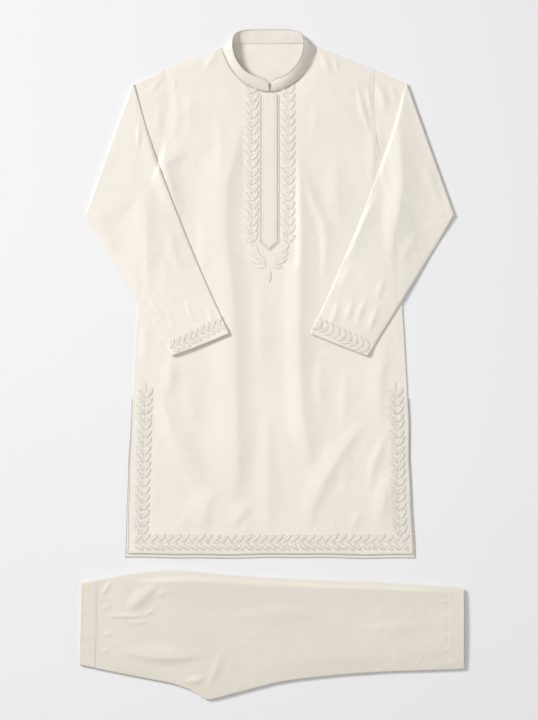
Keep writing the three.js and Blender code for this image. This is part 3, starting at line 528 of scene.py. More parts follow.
# %% The front's folds
FRONT_FOLDS = [
    Fold(70, 40, 5.4, [(244, 118), (237, 150), (229, 176), (227, 200), (226, 240), (230, 265),
                       (233, 295), (235, 335), (237, 380), (238, 430), (239, 465), (237, 490), (229, 509)]),
    Fold(42, 44, 5.2, [(298, 140), (299, 175), (300, 205), (301, 232), (300, 262), (300, 295),
                       (300, 335), (301, 375), (303, 410), (307, 440), (312, 465), (317, 484)]),
    Fold(17, 30, 2.9, [(303, 156), (307, 180), (314, 200), (322, 218), (326, 240), (325, 262), (319, 290)]),
    Fold(24, 34, 1.5, [(262, 266), (261, 300), (262, 340), (264, 390)]),
    Fold(34, 34, 2.5, [(269, 400), (268, 440), (269, 480), (269, 552)]),
    Fold(46, 28, 3.8, [(371, 414), (353, 438), (338, 460), (324, 484), (314, 508), (307, 541)]),
    Fold(22, 20, 2.4, [(391, 426), (381, 448), (373, 470), (369, 499)]),
    Fold(42, 44, 2.8, [(391, 325), (384, 360), (381, 400), (383, 436)]),
    Fold(40, 46, 3.2, [(402, 456), (391, 488), (383, 508), (376, 540)]),
    Fold(42, 42, 5.2, [(162, 378), (166, 408), (173, 430), (186, 452), (198, 472), (208, 496)]),
    Fold(20, 22, 1.4, [(146, 312), (146, 345), (144, 380)]),
    Fold(30, 22, 2.8, [(171, 352), (171, 378), (169, 402)]),
    Fold(60, 22, 2.9, [(223, 491), (211, 500), (206, 512), (206, 542)]),
    Fold(40, 16, 2.3, [(255, 500), (241, 517), (229, 532)]),
    Fold(12, 15, 1.5, [(154, 424), (173, 450), (188, 472), (196, 497)]),
    Fold(24, 28, 1.9, [(323, 338), (321, 385), (325, 432)]),
    Fold(20, 30, 1.5, [(345, 358), (346, 400), (341, 436)]),
    Fold(34, 42, 2.3, [(338, 140), (337, 190), (341, 242)]),
    Fold(24, 14, 1.8, [(374, 118), (374, 150), (371, 196)]),
    Fold(12, 10, 1.9, [(356, 76), (361, 102), (367, 122), (373, 142)]),
    Fold(8, 7, 1.3, [(366, 78), (370, 100), (374, 122)]),
    Fold(40, 34, 6.0, [(156, 118), (161, 146), (167, 170), (176, 203), (186, 230)]),
    Fold(50, 24, 3.3, [(190, 151), (178, 157), (160, 168)]),
    Fold(10, 13, 2.4, [(162, 78), (164, 100), (162, 128)]),
    Fold(20, 22, 1.5, [(174, 84), (178, 112), (173, 146)]),
    Fold(9, 8, 1.1, [(173, 74), (175, 84), (174, 95)]),
    Fold(26, 24, 1.3, [(196, 86), (190, 108), (193, 136)]),
    Fold(12, 20, 2.2, [(320, 50), (325, 61), (331, 77)]),
    Fold(9, 11, 1.4, [(331, 52), (336, 62), (338, 74)]),
    Fold(14, 18, 1.8, [(219, 48), (212, 60), (202, 73)]),
    Fold(22, 30, 1.5, [(214, 110), (222, 140), (219, 176)]),
    Fold(26, 30, 1.6, [(198, 200), (205, 240), (202, 290)]),
    Fold(18, 22, 1.2, [(312, 98), (316, 118), (312, 140)]),
    Fold(18, 16, 1.1, [(182, 514), (184, 524), (183, 536)]),
    Fold(8, 8, 1.1, [(245, 516), (247, 526), (247, 537)]),
    Fold(10, 9, 1.0, [(336, 512), (334, 524), (335, 538)]),
    Fold(16, 14, 1.4, [(362, 505), (357, 520), (350, 538)]),
    Fold(26, 26, 1.4, [(190, 375), (192, 400), (201, 428)]),
    Fold(18, 24, 1.3, [(150, 478), (152, 496), (149, 520)]),
    Fold(20, 20, 1.2, [(352, 452), (346, 476), (345, 500)]),
]
FRONT_PLACED = placed(FRONT_FOLDS, KURTA_AT)
PUFF, PUFF_REACH = 0.9, 60.0  # how far the front bulges, and how far in from its edges


def flat_share(x, y):
    """What is left of the folds beside the placket and along the borders."""
    half = np.abs(x)
    beside = 1 - smooth((half - 50) / 14)
    placket = 1 - 0.85 * beside * smooth((y - 590) / 40)
    hem = mix(0.35, 1, smooth((y - 40) / 40))
    edge = half_width("front", y) - half
    slit = 1 - smooth((y - SLIT_TOP - 44) / 60)
    side = mix(0.4, 1, smooth((edge - mix(2, 34, slit)) / mix(10, 24, slit)))
    return placket * hem * side


def front_height(x, y):
    edge = np.minimum.reduce([half_width("front", y) - np.abs(x), front_top(x) - y, y - FRONT_HEM + 20])
    puff = PUFF * smooth(edge / PUFF_REACH)
    small = 0.16 * ripple(x, y, 60, 3) + 0.3 * ripple(x, y, 140, 7) + 0.42 * crumple(x, y, 70, 31)
    rise = ridges(FRONT_PLACED, x, y) * flat_share(x, y) + (small + 0.5) * smooth(edge / 14)
    return PANEL_TOP + puff + np.maximum(rise, 0)


FRONT = Relief((-310, 310), (-10, 1085), 2.5, front_height)
print("front heights", FRONT.z.min().round(2), "to", FRONT.z.max().round(2), "mm")


# %% [markdown]
# ## Front and back
# Each panel is a grid between its hem and its neckline, as wide as the table says at
# that height, so that its border runs along the cut edges. The outermost points drop a
# little, which rounds the edge as a turned hem does. The few low folds of the back are
# hardly seen. Their routes are made up, in the kurta's own millimetres.

# %% The two panels
EDGE_DROP = 0.3
EDGE_CROWDING = 0.86  # the columns stand closer together towards the sides
BACK_LIFT_MOST = 0.55


def wander(x, y):
    """A pressed edge is never quite straight: it strays by about a millimetre."""
    dx = 0.8 * np.sin(y / 47 + 1.0) + 0.5 * np.sin(y / 19)
    dy = 0.9 * np.sin(x / 53 + 0.6) + 0.5 * np.sin(x / 21 + 2)
    low = 1 - smooth((y - SLIT_TOP) / 60)
    return dx * low, dy * low * (1 - smooth(y / 260))


def panel(name, side, hem, top, columns, rows, upper, under):
    """A panel between two surfaces: upper gives its top, and under its underside."""
    across = np.sin(np.linspace(-1, 1, columns) * math.pi / 2 * EDGE_CROWDING)
    a, u = np.meshgrid(across / across[-1], np.linspace(0, 1, rows))
    y = mix(hem, top(a * SHOULDER_HALF), u)
    x = a * half_width(side, y)
    dx, dy = wander(x, y)
    x, y = x + dx, y + dy
    border = np.ones(x.shape)
    border[1:-1, 1:-1] = 0
    z = upper(x, y) - EDGE_DROP * border
    return shell(name, xyz(x, y, z), xyz(x, y, under(x, y, z)), xyz(x, y), KURTA_AT, SILK)


def plan_area(piece):
    """Half of a thin shell's surface, in square metres: one layer of its cloth."""
    return sum(face.area for face in piece.data.polygons) / 2


front = panel("kurta_front_cloth", "front", FRONT_HEM, front_top, 151, 250, FRONT, lambda x, y, z: z - CLOTH)
finish_piece(front, "kurta_silk", "kurta_front")

BACK_FOLDS = [
    Fold(50, 40, 1.0, [(-150, 860), (-140, 600), (-156, 320), (-130, 120)]),
    Fold(46, 40, 0.9, [(120, 800), (136, 560), (118, 300), (150, 90)]),
    Fold(30, 34, 0.8, [(-30, 700), (-10, 500), (-22, 260)]),
    Fold(26, 24, 0.8, [(-240, 330), (-210, 240), (-170, 110)]),
    Fold(26, 28, 0.8, [(236, 350), (220, 240), (180, 100)]),
    Fold(22, 20, 0.7, [(-60, 1000), (-44, 960), (-52, 900)]),
    Fold(20, 22, 0.7, [(44, 1020), (36, 970), (50, 910)]),
]


def back_lift(x, y):
    """How far the back lies off the ground in its low creases."""
    edge = np.minimum.reduce([half_width("back", y) - np.abs(x), back_top(x) - y, y])
    return np.minimum(ridges(BACK_FOLDS, x, y), BACK_LIFT_MOST) * smooth(edge / 30)


back = panel("kurta_back_cloth", "back", 0.0, back_top, 101, 160,
             lambda x, y: BACK_TOP + 0.05 * ripple(x, y, 50, 5) + back_lift(x, y),
             lambda x, y, z: back_lift(x, y))
finish_piece(back, "kurta_silk", "kurta_back")
print("front", round(plan_area(front), 3), "m2, back", round(plan_area(back), 3), "m2")

# %% [markdown]
# ## Sleeves
# A sleeve is a tube sewn along the underarm. Here it lies flat and is folded in over the
# front, along a line from the tip of the shoulder to the elbow. So it is drawn as rings:
# first beside the armhole, then round the fold, then over the front down to the cuff.
# The part on top rests on whatever is below it, folds and all.

# %% The sleeves' own folds
# The first two lists are on the folded part, and the last two beside the armholes.
LEFT_FOLDS = [
    Fold(34, 15, 2.2, [(146, 120), (151, 143), (157, 165), (165, 188), (175, 215)]),
    Fold(42, 36, 2.8, [(145, 172), (147, 220), (148, 260), (151, 306)]),
    Fold(8, 9, 1.6, [(140, 118), (139, 138), (138, 156)]),
    Fold(8, 9, 1.6, [(185, 298), (190, 312), (197, 324)]),
    Fold(7, 8, 1.3, [(206, 304), (211, 316), (213, 328)]),
    Fold(8, 8, 1.2, [(167, 308), (172, 321), (175, 334)]),
    Fold(9, 9, 1.2, [(148, 296), (158, 310), (166, 326)]),
    Fold(34, 34, 2.0, [(92, 208), (108, 235), (120, 262)]),
    Fold(24, 28, 2.2, [(118, 104), (112, 140), (104, 186)]),
    Fold(8, 9, 1.3, [(88, 212), (98, 216), (112, 216)]),
    Fold(20, 18, 1.2, [(170, 222), (174, 250), (184, 280)]),
    Fold(16, 14, 1.6, [(152, 106), (156, 130), (162, 156)]),
    Fold(20, 16, 1.2, [(128, 262), (138, 280), (146, 298)]),
]
RIGHT_FOLDS = [
    Fold(16, 62, 3.6, [(410, 70), (398, 116), (388, 148), (384, 176), (392, 205)]),
    Fold(40, 64, 7.0, [(400, 112), (401, 150), (402, 182), (399, 210), (394, 236), (391, 272)]),
    Fold(11, 40, 4.2, [(381, 186), (368, 212), (357, 237), (344, 268)]),
    Fold(13, 13, 1.7, [(340, 296), (336, 312), (330, 330)]),
    Fold(12, 13, 1.8, [(354, 294), (350, 310), (343, 328)]),
    Fold(12, 13, 1.8, [(368, 292), (361, 311), (355, 331)]),
    Fold(13, 13, 2.2, [(380, 302), (373, 320), (367, 338)]),
    Fold(30, 26, 2.0, [(432, 150), (433, 176), (440, 206)]),
    Fold(9, 9, 1.3, [(452, 212), (440, 215), (428, 214)]),
    Fold(24, 20, 1.8, [(420, 226), (412, 244), (398, 266)]),
    Fold(18, 18, 1.4, [(352, 262), (346, 278), (338, 294)]),
    Fold(12, 12, 1.5, [(386, 276), (380, 290), (376, 304)]),
]
BASE_LEFT = [
    Fold(7, 7, 1.6, [(164, 79), (156, 86), (148, 95)]),
    Fold(9, 8, 1.5, [(160, 100), (158, 120), (157, 140)]),
    Fold(8, 8, 1.2, [(150, 72), (142, 82), (137, 92)]),
]
BASE_RIGHT = [
    Fold(10, 14, 3.0, [(369, 76), (379, 88), (384, 104), (380, 120)]),
    Fold(10, 16, 4.2, [(376, 116), (379, 140), (384, 168)]),
    Fold(8, 9, 1.6, [(388, 80), (394, 92), (396, 108)]),
]
# The folded part's corners in plan, on the right: both ends of the fold, and the cuff.
FOLD_TOP, FOLD_ELBOW = np.array([287.0, 989.0]), np.array([386.0, 714.0])
CUFF_IN, CUFF_OUT = np.array([85.0, 468.0]), np.array([205.0, 421.0])
SLEEVE_BOW = 12.0  # how far the inner edge bows out of a straight line
SLEEVE_FLAT, SLEEVE_FULL = 3.0, 5.0  # thickness of both layers at an edge and in the middle
SLEEVE_LIFT = 0.5  # from what it lies on
CUFF_FULL = 1.5  # the mouth of the cuff stands a little more open
SLEEVE_REST = 75.0  # the sleeve comes down to the ground this far beyond the front
FOLD_RADIUS = (SLEEVE_FLAT + SLEEVE_LIFT) / 2
AXIS_IN = FOLD_RADIUS + SLEEVE_FLAT / 2  # the flat rings end this far inside the fold
SEAM_GAP = 0.3
EDGE_SOFTNESS = 34  # folds fade out this steeply towards the sleeve's edges
TRACE_STEP = 0.01


def over_plan(w, s):
    """The folded part in plan: w across from the inner edge, s along to the cuff."""
    w, s = np.broadcast_arrays(w, s)
    inner = mix(FOLD_TOP, CUFF_IN, s[..., None]) + xyz(SLEEVE_BOW * 4 * s * (1 - s), 0 * s)
    return mix(inner, mix(FOLD_ELBOW, CUFF_OUT, s[..., None]), w[..., None])


def over_thickness(w, s):
    middle = np.sin(math.pi * np.clip(w, 0, 1)) ** 0.7 * smooth(s * 4)
    at_cuff = smooth((s - 0.9) * 10)
    return mix(SLEEVE_FLAT, SLEEVE_FULL + CUFF_FULL * at_cuff, np.maximum(middle, at_cuff))


def sleeve_rest(side, x, y):
    """Height of what the folded part lies on: the front, its own base, or the ground."""
    beyond = x - half_width("front", y)
    slope = (FOLD_ELBOW[1] - UNDERARM) / (FOLD_ELBOW[0] - UNDERARM_HALF)
    below_base = UNDERARM + slope * (x - UNDERARM_HALF) - y
    out = np.minimum(beyond, below_base)
    on_front = np.maximum(SLEEVE_FLAT, FRONT(side * x, y))
    on_edge = mix(on_front, SLEEVE_FLAT, smooth((beyond + 14) / 14))
    return np.where(beyond < 0, on_edge, SLEEVE_FLAT * (1 - smooth(out / SLEEVE_REST)))


def sleeve_relief(side, folds, seed):
    folds = placed(folds, KURTA_AT)

    def height(x, y):
        small = 0.2 * (1 + ripple(x, y, 70, seed)) + 0.4 * crumple(x, y, 60, seed)
        return ridges(folds, x, y) + small

    return Relief(sorted((side * 70, side * 400)), (400, 1010), 2.5, height)


SLEEVE_FOLDS = {-1: sleeve_relief(-1, LEFT_FOLDS, 11), 1: sleeve_relief(1, RIGHT_FOLDS, 12)}
BASE_FOLDS = {-1: placed(BASE_LEFT, KURTA_AT), 1: placed(BASE_RIGHT, KURTA_AT)}


def sleeve_top(side, x, y):
    """Height of the top of the folded part at a place of the plan, x on the positive side.

    It finds how far down (s) and across (w) the place is, with a few steps closer to it."""
    place = xyz(x, y)
    down = CUFF_IN - FOLD_TOP
    s = np.clip(((place - FOLD_TOP) * down).sum(-1) / (down @ down), 0, 1)
    for _ in range(4):
        start = over_plan(0.0, s)
        width = over_plan(1.0, s) - start
        w = np.clip(((place - start) * width).sum(-1) / (width**2).sum(-1), 0, 1)
        later = np.minimum(s + TRACE_STEP, 1)
        ahead = over_plan(w, later) - over_plan(w, later - TRACE_STEP)
        miss = ((place - over_plan(w, s)) * ahead).sum(-1)
        s = np.clip(s + TRACE_STEP * miss / (ahead**2).sum(-1), 0, 1)
    folds = SLEEVE_FOLDS[side](side * x, y) * inside(w, EDGE_SOFTNESS)
    return sleeve_rest(side, x, y) + SLEEVE_LIFT + over_thickness(w, s) + folds


# %% The sleeves as folded tubes
EDGE_TURN = np.linspace(0, math.pi, 7)[1:-1]  # the points round a pressed edge
BASE_RINGS, BEND_RINGS, OVER_RINGS = 16, 9, 150
RING_POINTS = 53  # on each of a ring's two layers


def sleeve_stations(side, w):
    """For each ring: the middle, the way to its front layer, its thickness and its folds."""
    none = 0 * w
    flat = none + SLEEVE_FLAT
    up = np.array([0.0, 0.0, 1.0])
    line = unit(FOLD_ELBOW - FOLD_TOP)
    out = np.array([-line[1], line[0]])
    fold_line = mix(FOLD_TOP, FOLD_ELBOW, w[:, None])
    hole_y = mix(SHOULDER_Y, UNDERARM, w)
    hole = xyz(half_width("front", hole_y) + 0.1, hole_y)
    stations = []
    for t in np.linspace(0, 1, BASE_RINGS):
        x, y = mix(hole, fold_line - AXIS_IN * out, t).T
        ease = 0.7 * np.sin(w * 40) * (1 - smooth(t * 2.2)) * smooth(t * 9)
        ease = ease * smooth(w * 8) * (1 - smooth(w * 2.2))
        seam = -0.35 * (1 - smooth(t * 14))
        full = 0.8 * smooth(t * 3) * np.sin(math.pi * w)
        creases = ridges(BASE_FOLDS[side], side * x, y) * (1 - smooth(t * 1.4 - 0.4))
        stations.append((xyz(x, y, SLEEVE_FLAT / 2), up, flat, ease + seam + full + creases))
    for t in np.linspace(0, math.pi, BEND_RINGS)[1:-1]:
        x, y = (fold_line + out * (FOLD_RADIUS * math.sin(t) - AXIS_IN)).T
        z = SLEEVE_FLAT / 2 + FOLD_RADIUS * (1 - math.cos(t))
        normal = np.array([-math.sin(t) * out[0], -math.sin(t) * out[1], math.cos(t)])
        stations.append((xyz(x, y, z), normal, flat, none))
    for s in np.linspace(0, 1, OVER_RINGS):
        x, y = (over_plan(w, s) - AXIS_IN * (1 - smooth(s * 5)) * out).T
        thick = over_thickness(w, s)
        z = sleeve_rest(side, x, y) + SLEEVE_LIFT + thick / 2
        folds = SLEEVE_FOLDS[side](side * x, y) * inside(w, EDGE_SOFTNESS) * smooth(s * 12)
        stations.append((xyz(x, y, z), -up, thick, folds))
    return stations


def sleeve_ring(station, wall, is_over):
    """Points round one ring, on its outside or, a wall's thickness in, on its inside."""
    middle, normal, thick, folds = station
    across = unit((middle[-1] - middle[0]) * [1, 1, 0])
    half = thick / 2 - wall
    front_face = middle + normal * (half if is_over else half + folds)[:, None]
    back_face = middle - normal * (half + folds if is_over else half)[:, None]
    radius = SLEEVE_FLAT / 2
    for face in (front_face, back_face):
        face[0] += across * radius
        face[-1] -= across * radius
    reach = (radius - wall) * np.sin(EDGE_TURN)[:, None] * across
    lift = normal * np.cos(EDGE_TURN)[:, None]
    end = middle[-1] - across * radius + reach + lift * half[-1]
    start = middle[0] + across * radius - reach - lift * half[0]
    return np.concatenate([front_face, end, back_face[::-1], start])


def sleeve(side, node):
    w = np.linspace(0, 1, RING_POINTS)
    stations = sleeve_stations(side, w)
    first_over = len(stations) - OVER_RINGS
    outer, inner = (
        np.array([sleeve_ring(station, wall, i >= first_over) for i, station in enumerate(stations)])
        for wall in (0.0, CLOTH)
    )
    uv = xyz(girths(outer), distances(outer[:, 20])[:, None])
    piece = tube(node + "_cloth", outer * [side, 1, 1], inner * [side, 1, 1], uv, KURTA_AT, SILK)
    finish_piece(piece, "kurta_silk", node)
    print("one layer", round(plan_area(piece), 3), "m2")


for hand, side in SIDES.items():
    sleeve(side, "sleeve_" + hand)

# %% [markdown]
# ## Collar
# The collar is a stiffened band that stands up round the neck, with its two ends parted
# by a notch at the front. Its seam runs along the neckline, and its top edge leans in.
# At the back it lies over, so that its inside shows. It is a grid: round the neck one
# way, and from the seam to the top edge the other way.

# %% The collar band
COLLAR = {
    "at": list(range(12)),
    "seam_x": [1.4, 15, 32, 57, 78.5, 91, 96, 90, 76, 58, 32, 0],
    "seam_y": [972.5, 974, 980, 995.5, 1021, 1046, 1061, 1068.5, 1072, 1072.5, 1072.5, 1072.5],
    "top_x": [4, 16, 31, 50, 66, 73, 74, 71, 63, 51, 31, 0],
    "top_y": [993, 999, 1004, 1016, 1037, 1057, 1074, 1087, 1095, 1099, 1101, 1101],
    "top_z": [9, 11.5, 13.5, 16, 18.5, 19.5, 18.5, 15.5, 11, 7, 5, 4],
}
COLLAR_BACK = 7.6
COLLAR_THICK = 1.7
COLLAR_LEAN = {"top": -4.0, "seam": -2.0}
COLLAR_WIDTH = 28.0
FOOT_PINCH, TOP_PINCH = 0.35, 0.7  # the seam is pressed thin, and the top edge a little


def collar_middle(at, t):
    """A point of the band's middle surface: at round from the front, t up from the seam."""
    seam_x, seam_y, top_x, top_y, top_z = (read(COLLAR, "at", name, at) for name in list(COLLAR)[1:])
    on_back = smooth((at - COLLAR_BACK + 1) / 1.6)
    lift = SEAM_GAP + COLLAR_THICK / 2 + 0.15
    seam_z = mix(FRONT(seam_x, seam_y) + lift, BACK_TOP + 0.45, on_back)
    arch = np.sin(math.pi * t)
    bulge = 2.2 * arch * (1 - on_back)
    creases = 0.7 * bell(at, 10.1, 0.28) * arch**2 + 0.4 * bell(at, 9.0, 0.35) * arch
    return xyz(mix(seam_x, top_x, t), mix(seam_y, top_y, t), mix(seam_z, top_z, t) + bulge + creases)


def collar_face(at, t, side, offset):
    """The band's surface moved towards the neck from its middle, on one side of the neck."""
    d = 0.03  # a short step on the band
    ahead = collar_middle(np.minimum(at + d, 11), t) - collar_middle(np.maximum(at - d, 0), t)
    rise = collar_middle(at, np.minimum(t + d, 1)) - collar_middle(at, np.maximum(t - d, 0))
    point = collar_middle(at, t) + unit(np.cross(rise, ahead)) * np.asarray(offset)[..., None]
    lean = mix(COLLAR_LEAN["seam"], COLLAR_LEAN["top"], t) * smooth(at / 4)
    return xyz(side * point[..., 0] + lean, point[..., 1], point[..., 2])


def collar_round(spacing):
    """Places round the whole band: from the left end, past the back, to the right end."""
    at = np.arange(0, 11 + spacing / 2, spacing)
    sides = np.concatenate([-np.ones(len(at)), np.ones(len(at) - 1)])
    return np.concatenate([at, at[-2::-1]]), sides


def collar_line(t, offset, spacing, high=11.0):
    """A line round the band, at t up from its seam, as far back as a place on both sides."""
    at, sides = collar_round(spacing)
    keep = at <= high
    return collar_face(at[keep], t, sides[keep], offset)


round_neck, sides = collar_round(0.1)
at, t = np.meshgrid(round_neck, np.linspace(0, 1, 13), indexing="ij")
half = COLLAR_THICK / 2 * np.where(t == 1, TOP_PINCH, np.where(t == 0, FOOT_PINCH, 1.0))
neck_face, outside_face = (collar_face(at, t, sides[:, None], offset) for offset in (half, -half))
far = distances(neck_face[:, 6])
collar = shell("collar_band_cloth", neck_face, outside_face, xyz(far[:, None], COLLAR_WIDTH * t),
               KURTA_AT, BAND_SILK)
finish_piece(collar, "kurta_silk", "collar_band")

# %% [markdown]
# ## Placket
# The opening of a kurta is closed by a strip down the middle of the chest. It is sewn
# on top of the front, its foot cut to a point, and its buttons are hidden. The strip is
# laid on the front's own relief, so that it goes up and down with the cloth.

# %% The placket strip
PLACKET_X, PLACKET_HALF = -1.0, 15.5
PLACKET_TOP, PLACKET_SIDE, PLACKET_TIP = 968.0, 660.0, 645.5
PLACKET_THICK = 1.1
CHANNEL_AT, CHANNEL_DEPTH = 0.74, 0.28  # where it is stitched, as a share of half its width


def placket_height(x, y):
    """Top of the strip: thin at the edges, with a shallow channel where it is stitched."""
    lane = np.abs(x - PLACKET_X) / PLACKET_HALF
    edge = 1 - 0.35 * smooth((lane - 0.86) / 0.14)
    return FRONT(x, y) + SEAM_GAP + PLACKET_THICK * edge - CHANNEL_DEPTH * bell(lane, CHANNEL_AT, 0.07)


lane, up = np.meshgrid(np.linspace(-1, 1, 29), np.linspace(0, 1, 130))
x = PLACKET_X + lane * PLACKET_HALF
y = mix(mix(PLACKET_TIP, PLACKET_SIDE, np.abs(lane)), PLACKET_TOP, up)
placket = shell("placket_strip_cloth", xyz(x, y, placket_height(x, y)), xyz(x, y, FRONT(x, y) + 0.1),
                xyz(x, y), KURTA_AT, BAND_SILK)
finish_piece(placket, "kurta_silk", "placket_strip")

# %% [markdown]
# ## Three geometry trees: piping, stitches and leaves
# A twisted piping cord, a line of stitches and a border of stitched leaves all repeat one
# small shape along a path. Each is a geometry tree with named sizes. Its input is a mesh:
# edges are paths, and loose points are the seats of leaves, with a heading and a size.

# %% Helpers for geometry trees
def geometry_tree(name, sizes):
    """A tree with a mesh, the named sizes and a material as its inputs."""
    tree = bpy.data.node_groups.new(name, "GeometryNodeTree")
    inputs = {"Geometry": "Geometry", **dict.fromkeys(sizes, "Float"), "Material": "Material"}
    for title, kind in inputs.items():
        tree.interface.new_socket(title, in_out="INPUT", socket_type="NodeSocket" + kind)
    tree.interface.new_socket("Geometry", in_out="OUTPUT", socket_type="NodeSocketGeometry")
    net = Net(tree)
    mesh = net.node("NodeGroupInput", out="Geometry")
    return net, mesh, {size: mesh.out(size) for size in sizes}


def end_tree(net, mesh, geometry):
    """Realize what is instanced, set its material, and give it out."""
    real = net.node("GeometryNodeRealizeInstances", {0: geometry})
    painted = net.node("GeometryNodeSetMaterial", {"Geometry": real, "Material": mesh.out("Material")})
    net.node("NodeGroupOutput", {0: painted})
    return net.tree


def unit_stitch(net, segments, rings):
    """A spindle one long, from the origin along +X, and one wide."""
    ball = net.node("GeometryNodeMeshUVSphere", {"Segments": segments, "Rings": rings, "Radius": 0.5})
    return net.node("GeometryNodeTransform",
                    {"Geometry": ball, "Translation": (0.5, 0, 0), "Rotation": (0, math.pi / 2, 0)})


def moved(net, geometry, scale, shift=(0.0, 0.0, 0.0)):
    return net.node("GeometryNodeTransform",
                    {"Geometry": geometry, "Scale": net.vector(*scale), "Translation": net.vector(*shift)})


def instances(net, points, instance, rotation, scale):
    return net.node("GeometryNodeInstanceOnPoints", {
        "Points": points, "Instance": instance, "Rotation": rotation, "Scale": net.vector(*scale),
    })


def joined(net, *parts):
    join = net.node("GeometryNodeJoinGeometry")
    for part in parts:
        net.put(join.socket.node.inputs[0], part)
    return join


def resampled(net, mesh, step):
    """The paths of a mesh as curves with a point at every step."""
    curve = net.node("GeometryNodeMeshToCurve", {"Mesh": mesh})
    return net.node("GeometryNodeResampleCurve", {"Curve": curve, "Length": step}, mode="LENGTH")


def stitch_row(net, mesh, step, stitch, length, silk):
    """One stitch after another along the paths of a mesh."""
    way = net.node("GeometryNodeInputTangent")
    facing = net.node("FunctionNodeAlignRotationToVector", {"Vector": way}, axis="X")
    return instances(net, resampled(net, mesh, step), stitch, facing, (length, silk, silk))


def run_tree(name, tree, base, sizes, material):
    """A plain mesh from a tree: base is its input mesh, sizes are its named inputs."""
    piece = show(name, base)
    modifier = piece.modifiers.new("tree", "NODES")
    modifier.node_group = tree
    values = {**sizes, "Material": material}
    for item in tree.interface.items_tree:
        if item.in_out == "INPUT" and item.name in values:
            modifier[item.identifier] = values[item.name]
    bpy.context.view_layer.update()
    depsgraph = bpy.context.evaluated_depsgraph_get()
    made = bpy.data.meshes.new_from_object(piece.evaluated_get(depsgraph), depsgraph=depsgraph)
    piece.modifiers.clear()
    piece.data = made
    bpy.data.meshes.remove(base)
    made.name = name
    made.shade_smooth()
    return piece


def path_mesh(name, lines, seats=(), at=KURTA_AT):
    """The input of a tree: lines of points joined by edges, and seats as loose points.

    A seat is (x, y, heading, size) in millimetres and radians."""
    points, edges = [], []
    for line in lines:
        edges += [(i, i + 1) for i in range(len(points), len(points) + len(line) - 1)]
        points += [tuple(p) for p in line]
    free = len(points)
    points += [(s[0], s[1], 0.0) for s in seats]
    mesh = bpy.data.meshes.new(name)
    mesh.from_pydata((np.array(points, float) * MM + at).tolist(), edges, [])
    if len(seats):
        for attribute, column in (("heading", 2), ("size", 3)):
            values = [0.0] * free + [float(s[column]) for s in seats]
            mesh.attributes.new(attribute, "FLOAT", "POINT").data.foreach_set("value", values)
    return mesh


# %% [markdown]
# ## Piping
# Thin silver-grey piping edges the collar, the placket, the hem and the slits. Real piping
# is two strands twisted together. A path gives the middle of the cord, a squeezed circle
# is its section, and tilting the path as it goes along twists that section into strands.

# %% The piping tree
def piping_tree():
    net, mesh, size = geometry_tree("twisted_piping", ["Radius", "Pitch", "Spacing"])
    along = net.node("GeometryNodeSplineParameter", out="Length")
    twisted = net.node("GeometryNodeSetCurveTilt", {
        "Curve": resampled(net, mesh, size["Spacing"]), "Tilt": along / size["Pitch"] * (2 * math.pi),
    })
    ring = net.node("GeometryNodeCurvePrimitiveCircle", {"Resolution": 8, "Radius": 1.0}, "Curve")
    x = net.node("ShaderNodeSeparateXYZ", {0: net.node("GeometryNodeInputPosition")}, "X")
    place = net.vector(x, x.out("Y") * (x.size() * 0.55 + 0.45), 0.0)
    squeezed = net.node("GeometryNodeSetPosition", {"Geometry": ring, "Position": place})
    section = moved(net, squeezed, [size["Radius"]] * 3)
    curves = {"Curve": twisted, "Profile Curve": section, "Fill Caps": True}
    return end_tree(net, mesh, net.node("GeometryNodeCurveToMesh", curves))


PIPING_TREE = piping_tree()


def piping(name, line, node, radius=0.8, material=PIPING):
    """Piping along a line of points, in the kurta's millimetres."""
    sizes = {"Radius": radius * MM, "Pitch": 5.0 * MM, "Spacing": 1.25 * MM}
    finish_piece(run_tree(name, PIPING_TREE, path_mesh(name, [line]), sizes, material), "piping", node)


# %% The piping of the kurta
CORD_OUT = 0.8 + SEAM_GAP
CUFF_CORD_OUT = 0.9
OUTER_CORD_OUT = 4.4
FRONT_CORD_Z, BACK_CORD_Z = 2.9, 0.95
NECK_MIDDLE = [-3, 1030]
FOOT_CORD_OUT = 1.9


def on_front(plan, lift):
    """Points of the plan, raised to the front's surface."""
    x, y = plan.T
    return xyz(x, y, FRONT(x, y) + lift)


def placket_line(out):
    """A line down one side of the placket, round its point and up the other side."""
    half, top = PLACKET_HALF + out, PLACKET_TOP - 2
    slope = (PLACKET_SIDE - PLACKET_TIP) / PLACKET_HALF
    tip = PLACKET_TIP - out * math.hypot(1, slope)
    side = tip + slope * half
    corner = [(half, top), (half, side), (0, tip), (-half, side), (-half, top)]
    parts = [np.linspace(a, b, max(3, int(math.dist(a, b) / 6)))[:-1] for a, b in zip(corner, corner[1:])]
    return np.concatenate([*parts, corner[-1:]]) + [PLACKET_X, 0]


def edge_line(side, hem, z):
    """Round a panel's open edges, a little outside them: slit, hem and slit."""
    y = np.linspace(SLIT_TOP - 4, hem, 60)
    right = xyz(half_width(side, y) + CORD_OUT, y)
    angle = np.radians([30, 60])
    half = half_width(side, hem)
    corner = xyz(half + CORD_OUT * np.cos(angle), hem - CORD_OUT * np.sin(angle))
    foot = xyz(np.linspace(half, -half, 120), hem - CORD_OUT)
    left = np.concatenate([corner[::-1], right[::-1]]) * [-1, 1]
    x, y = np.concatenate([right, corner, foot, left]).T
    dx, dy = wander(x, y)
    return xyz(x + dx, y + dy, z)


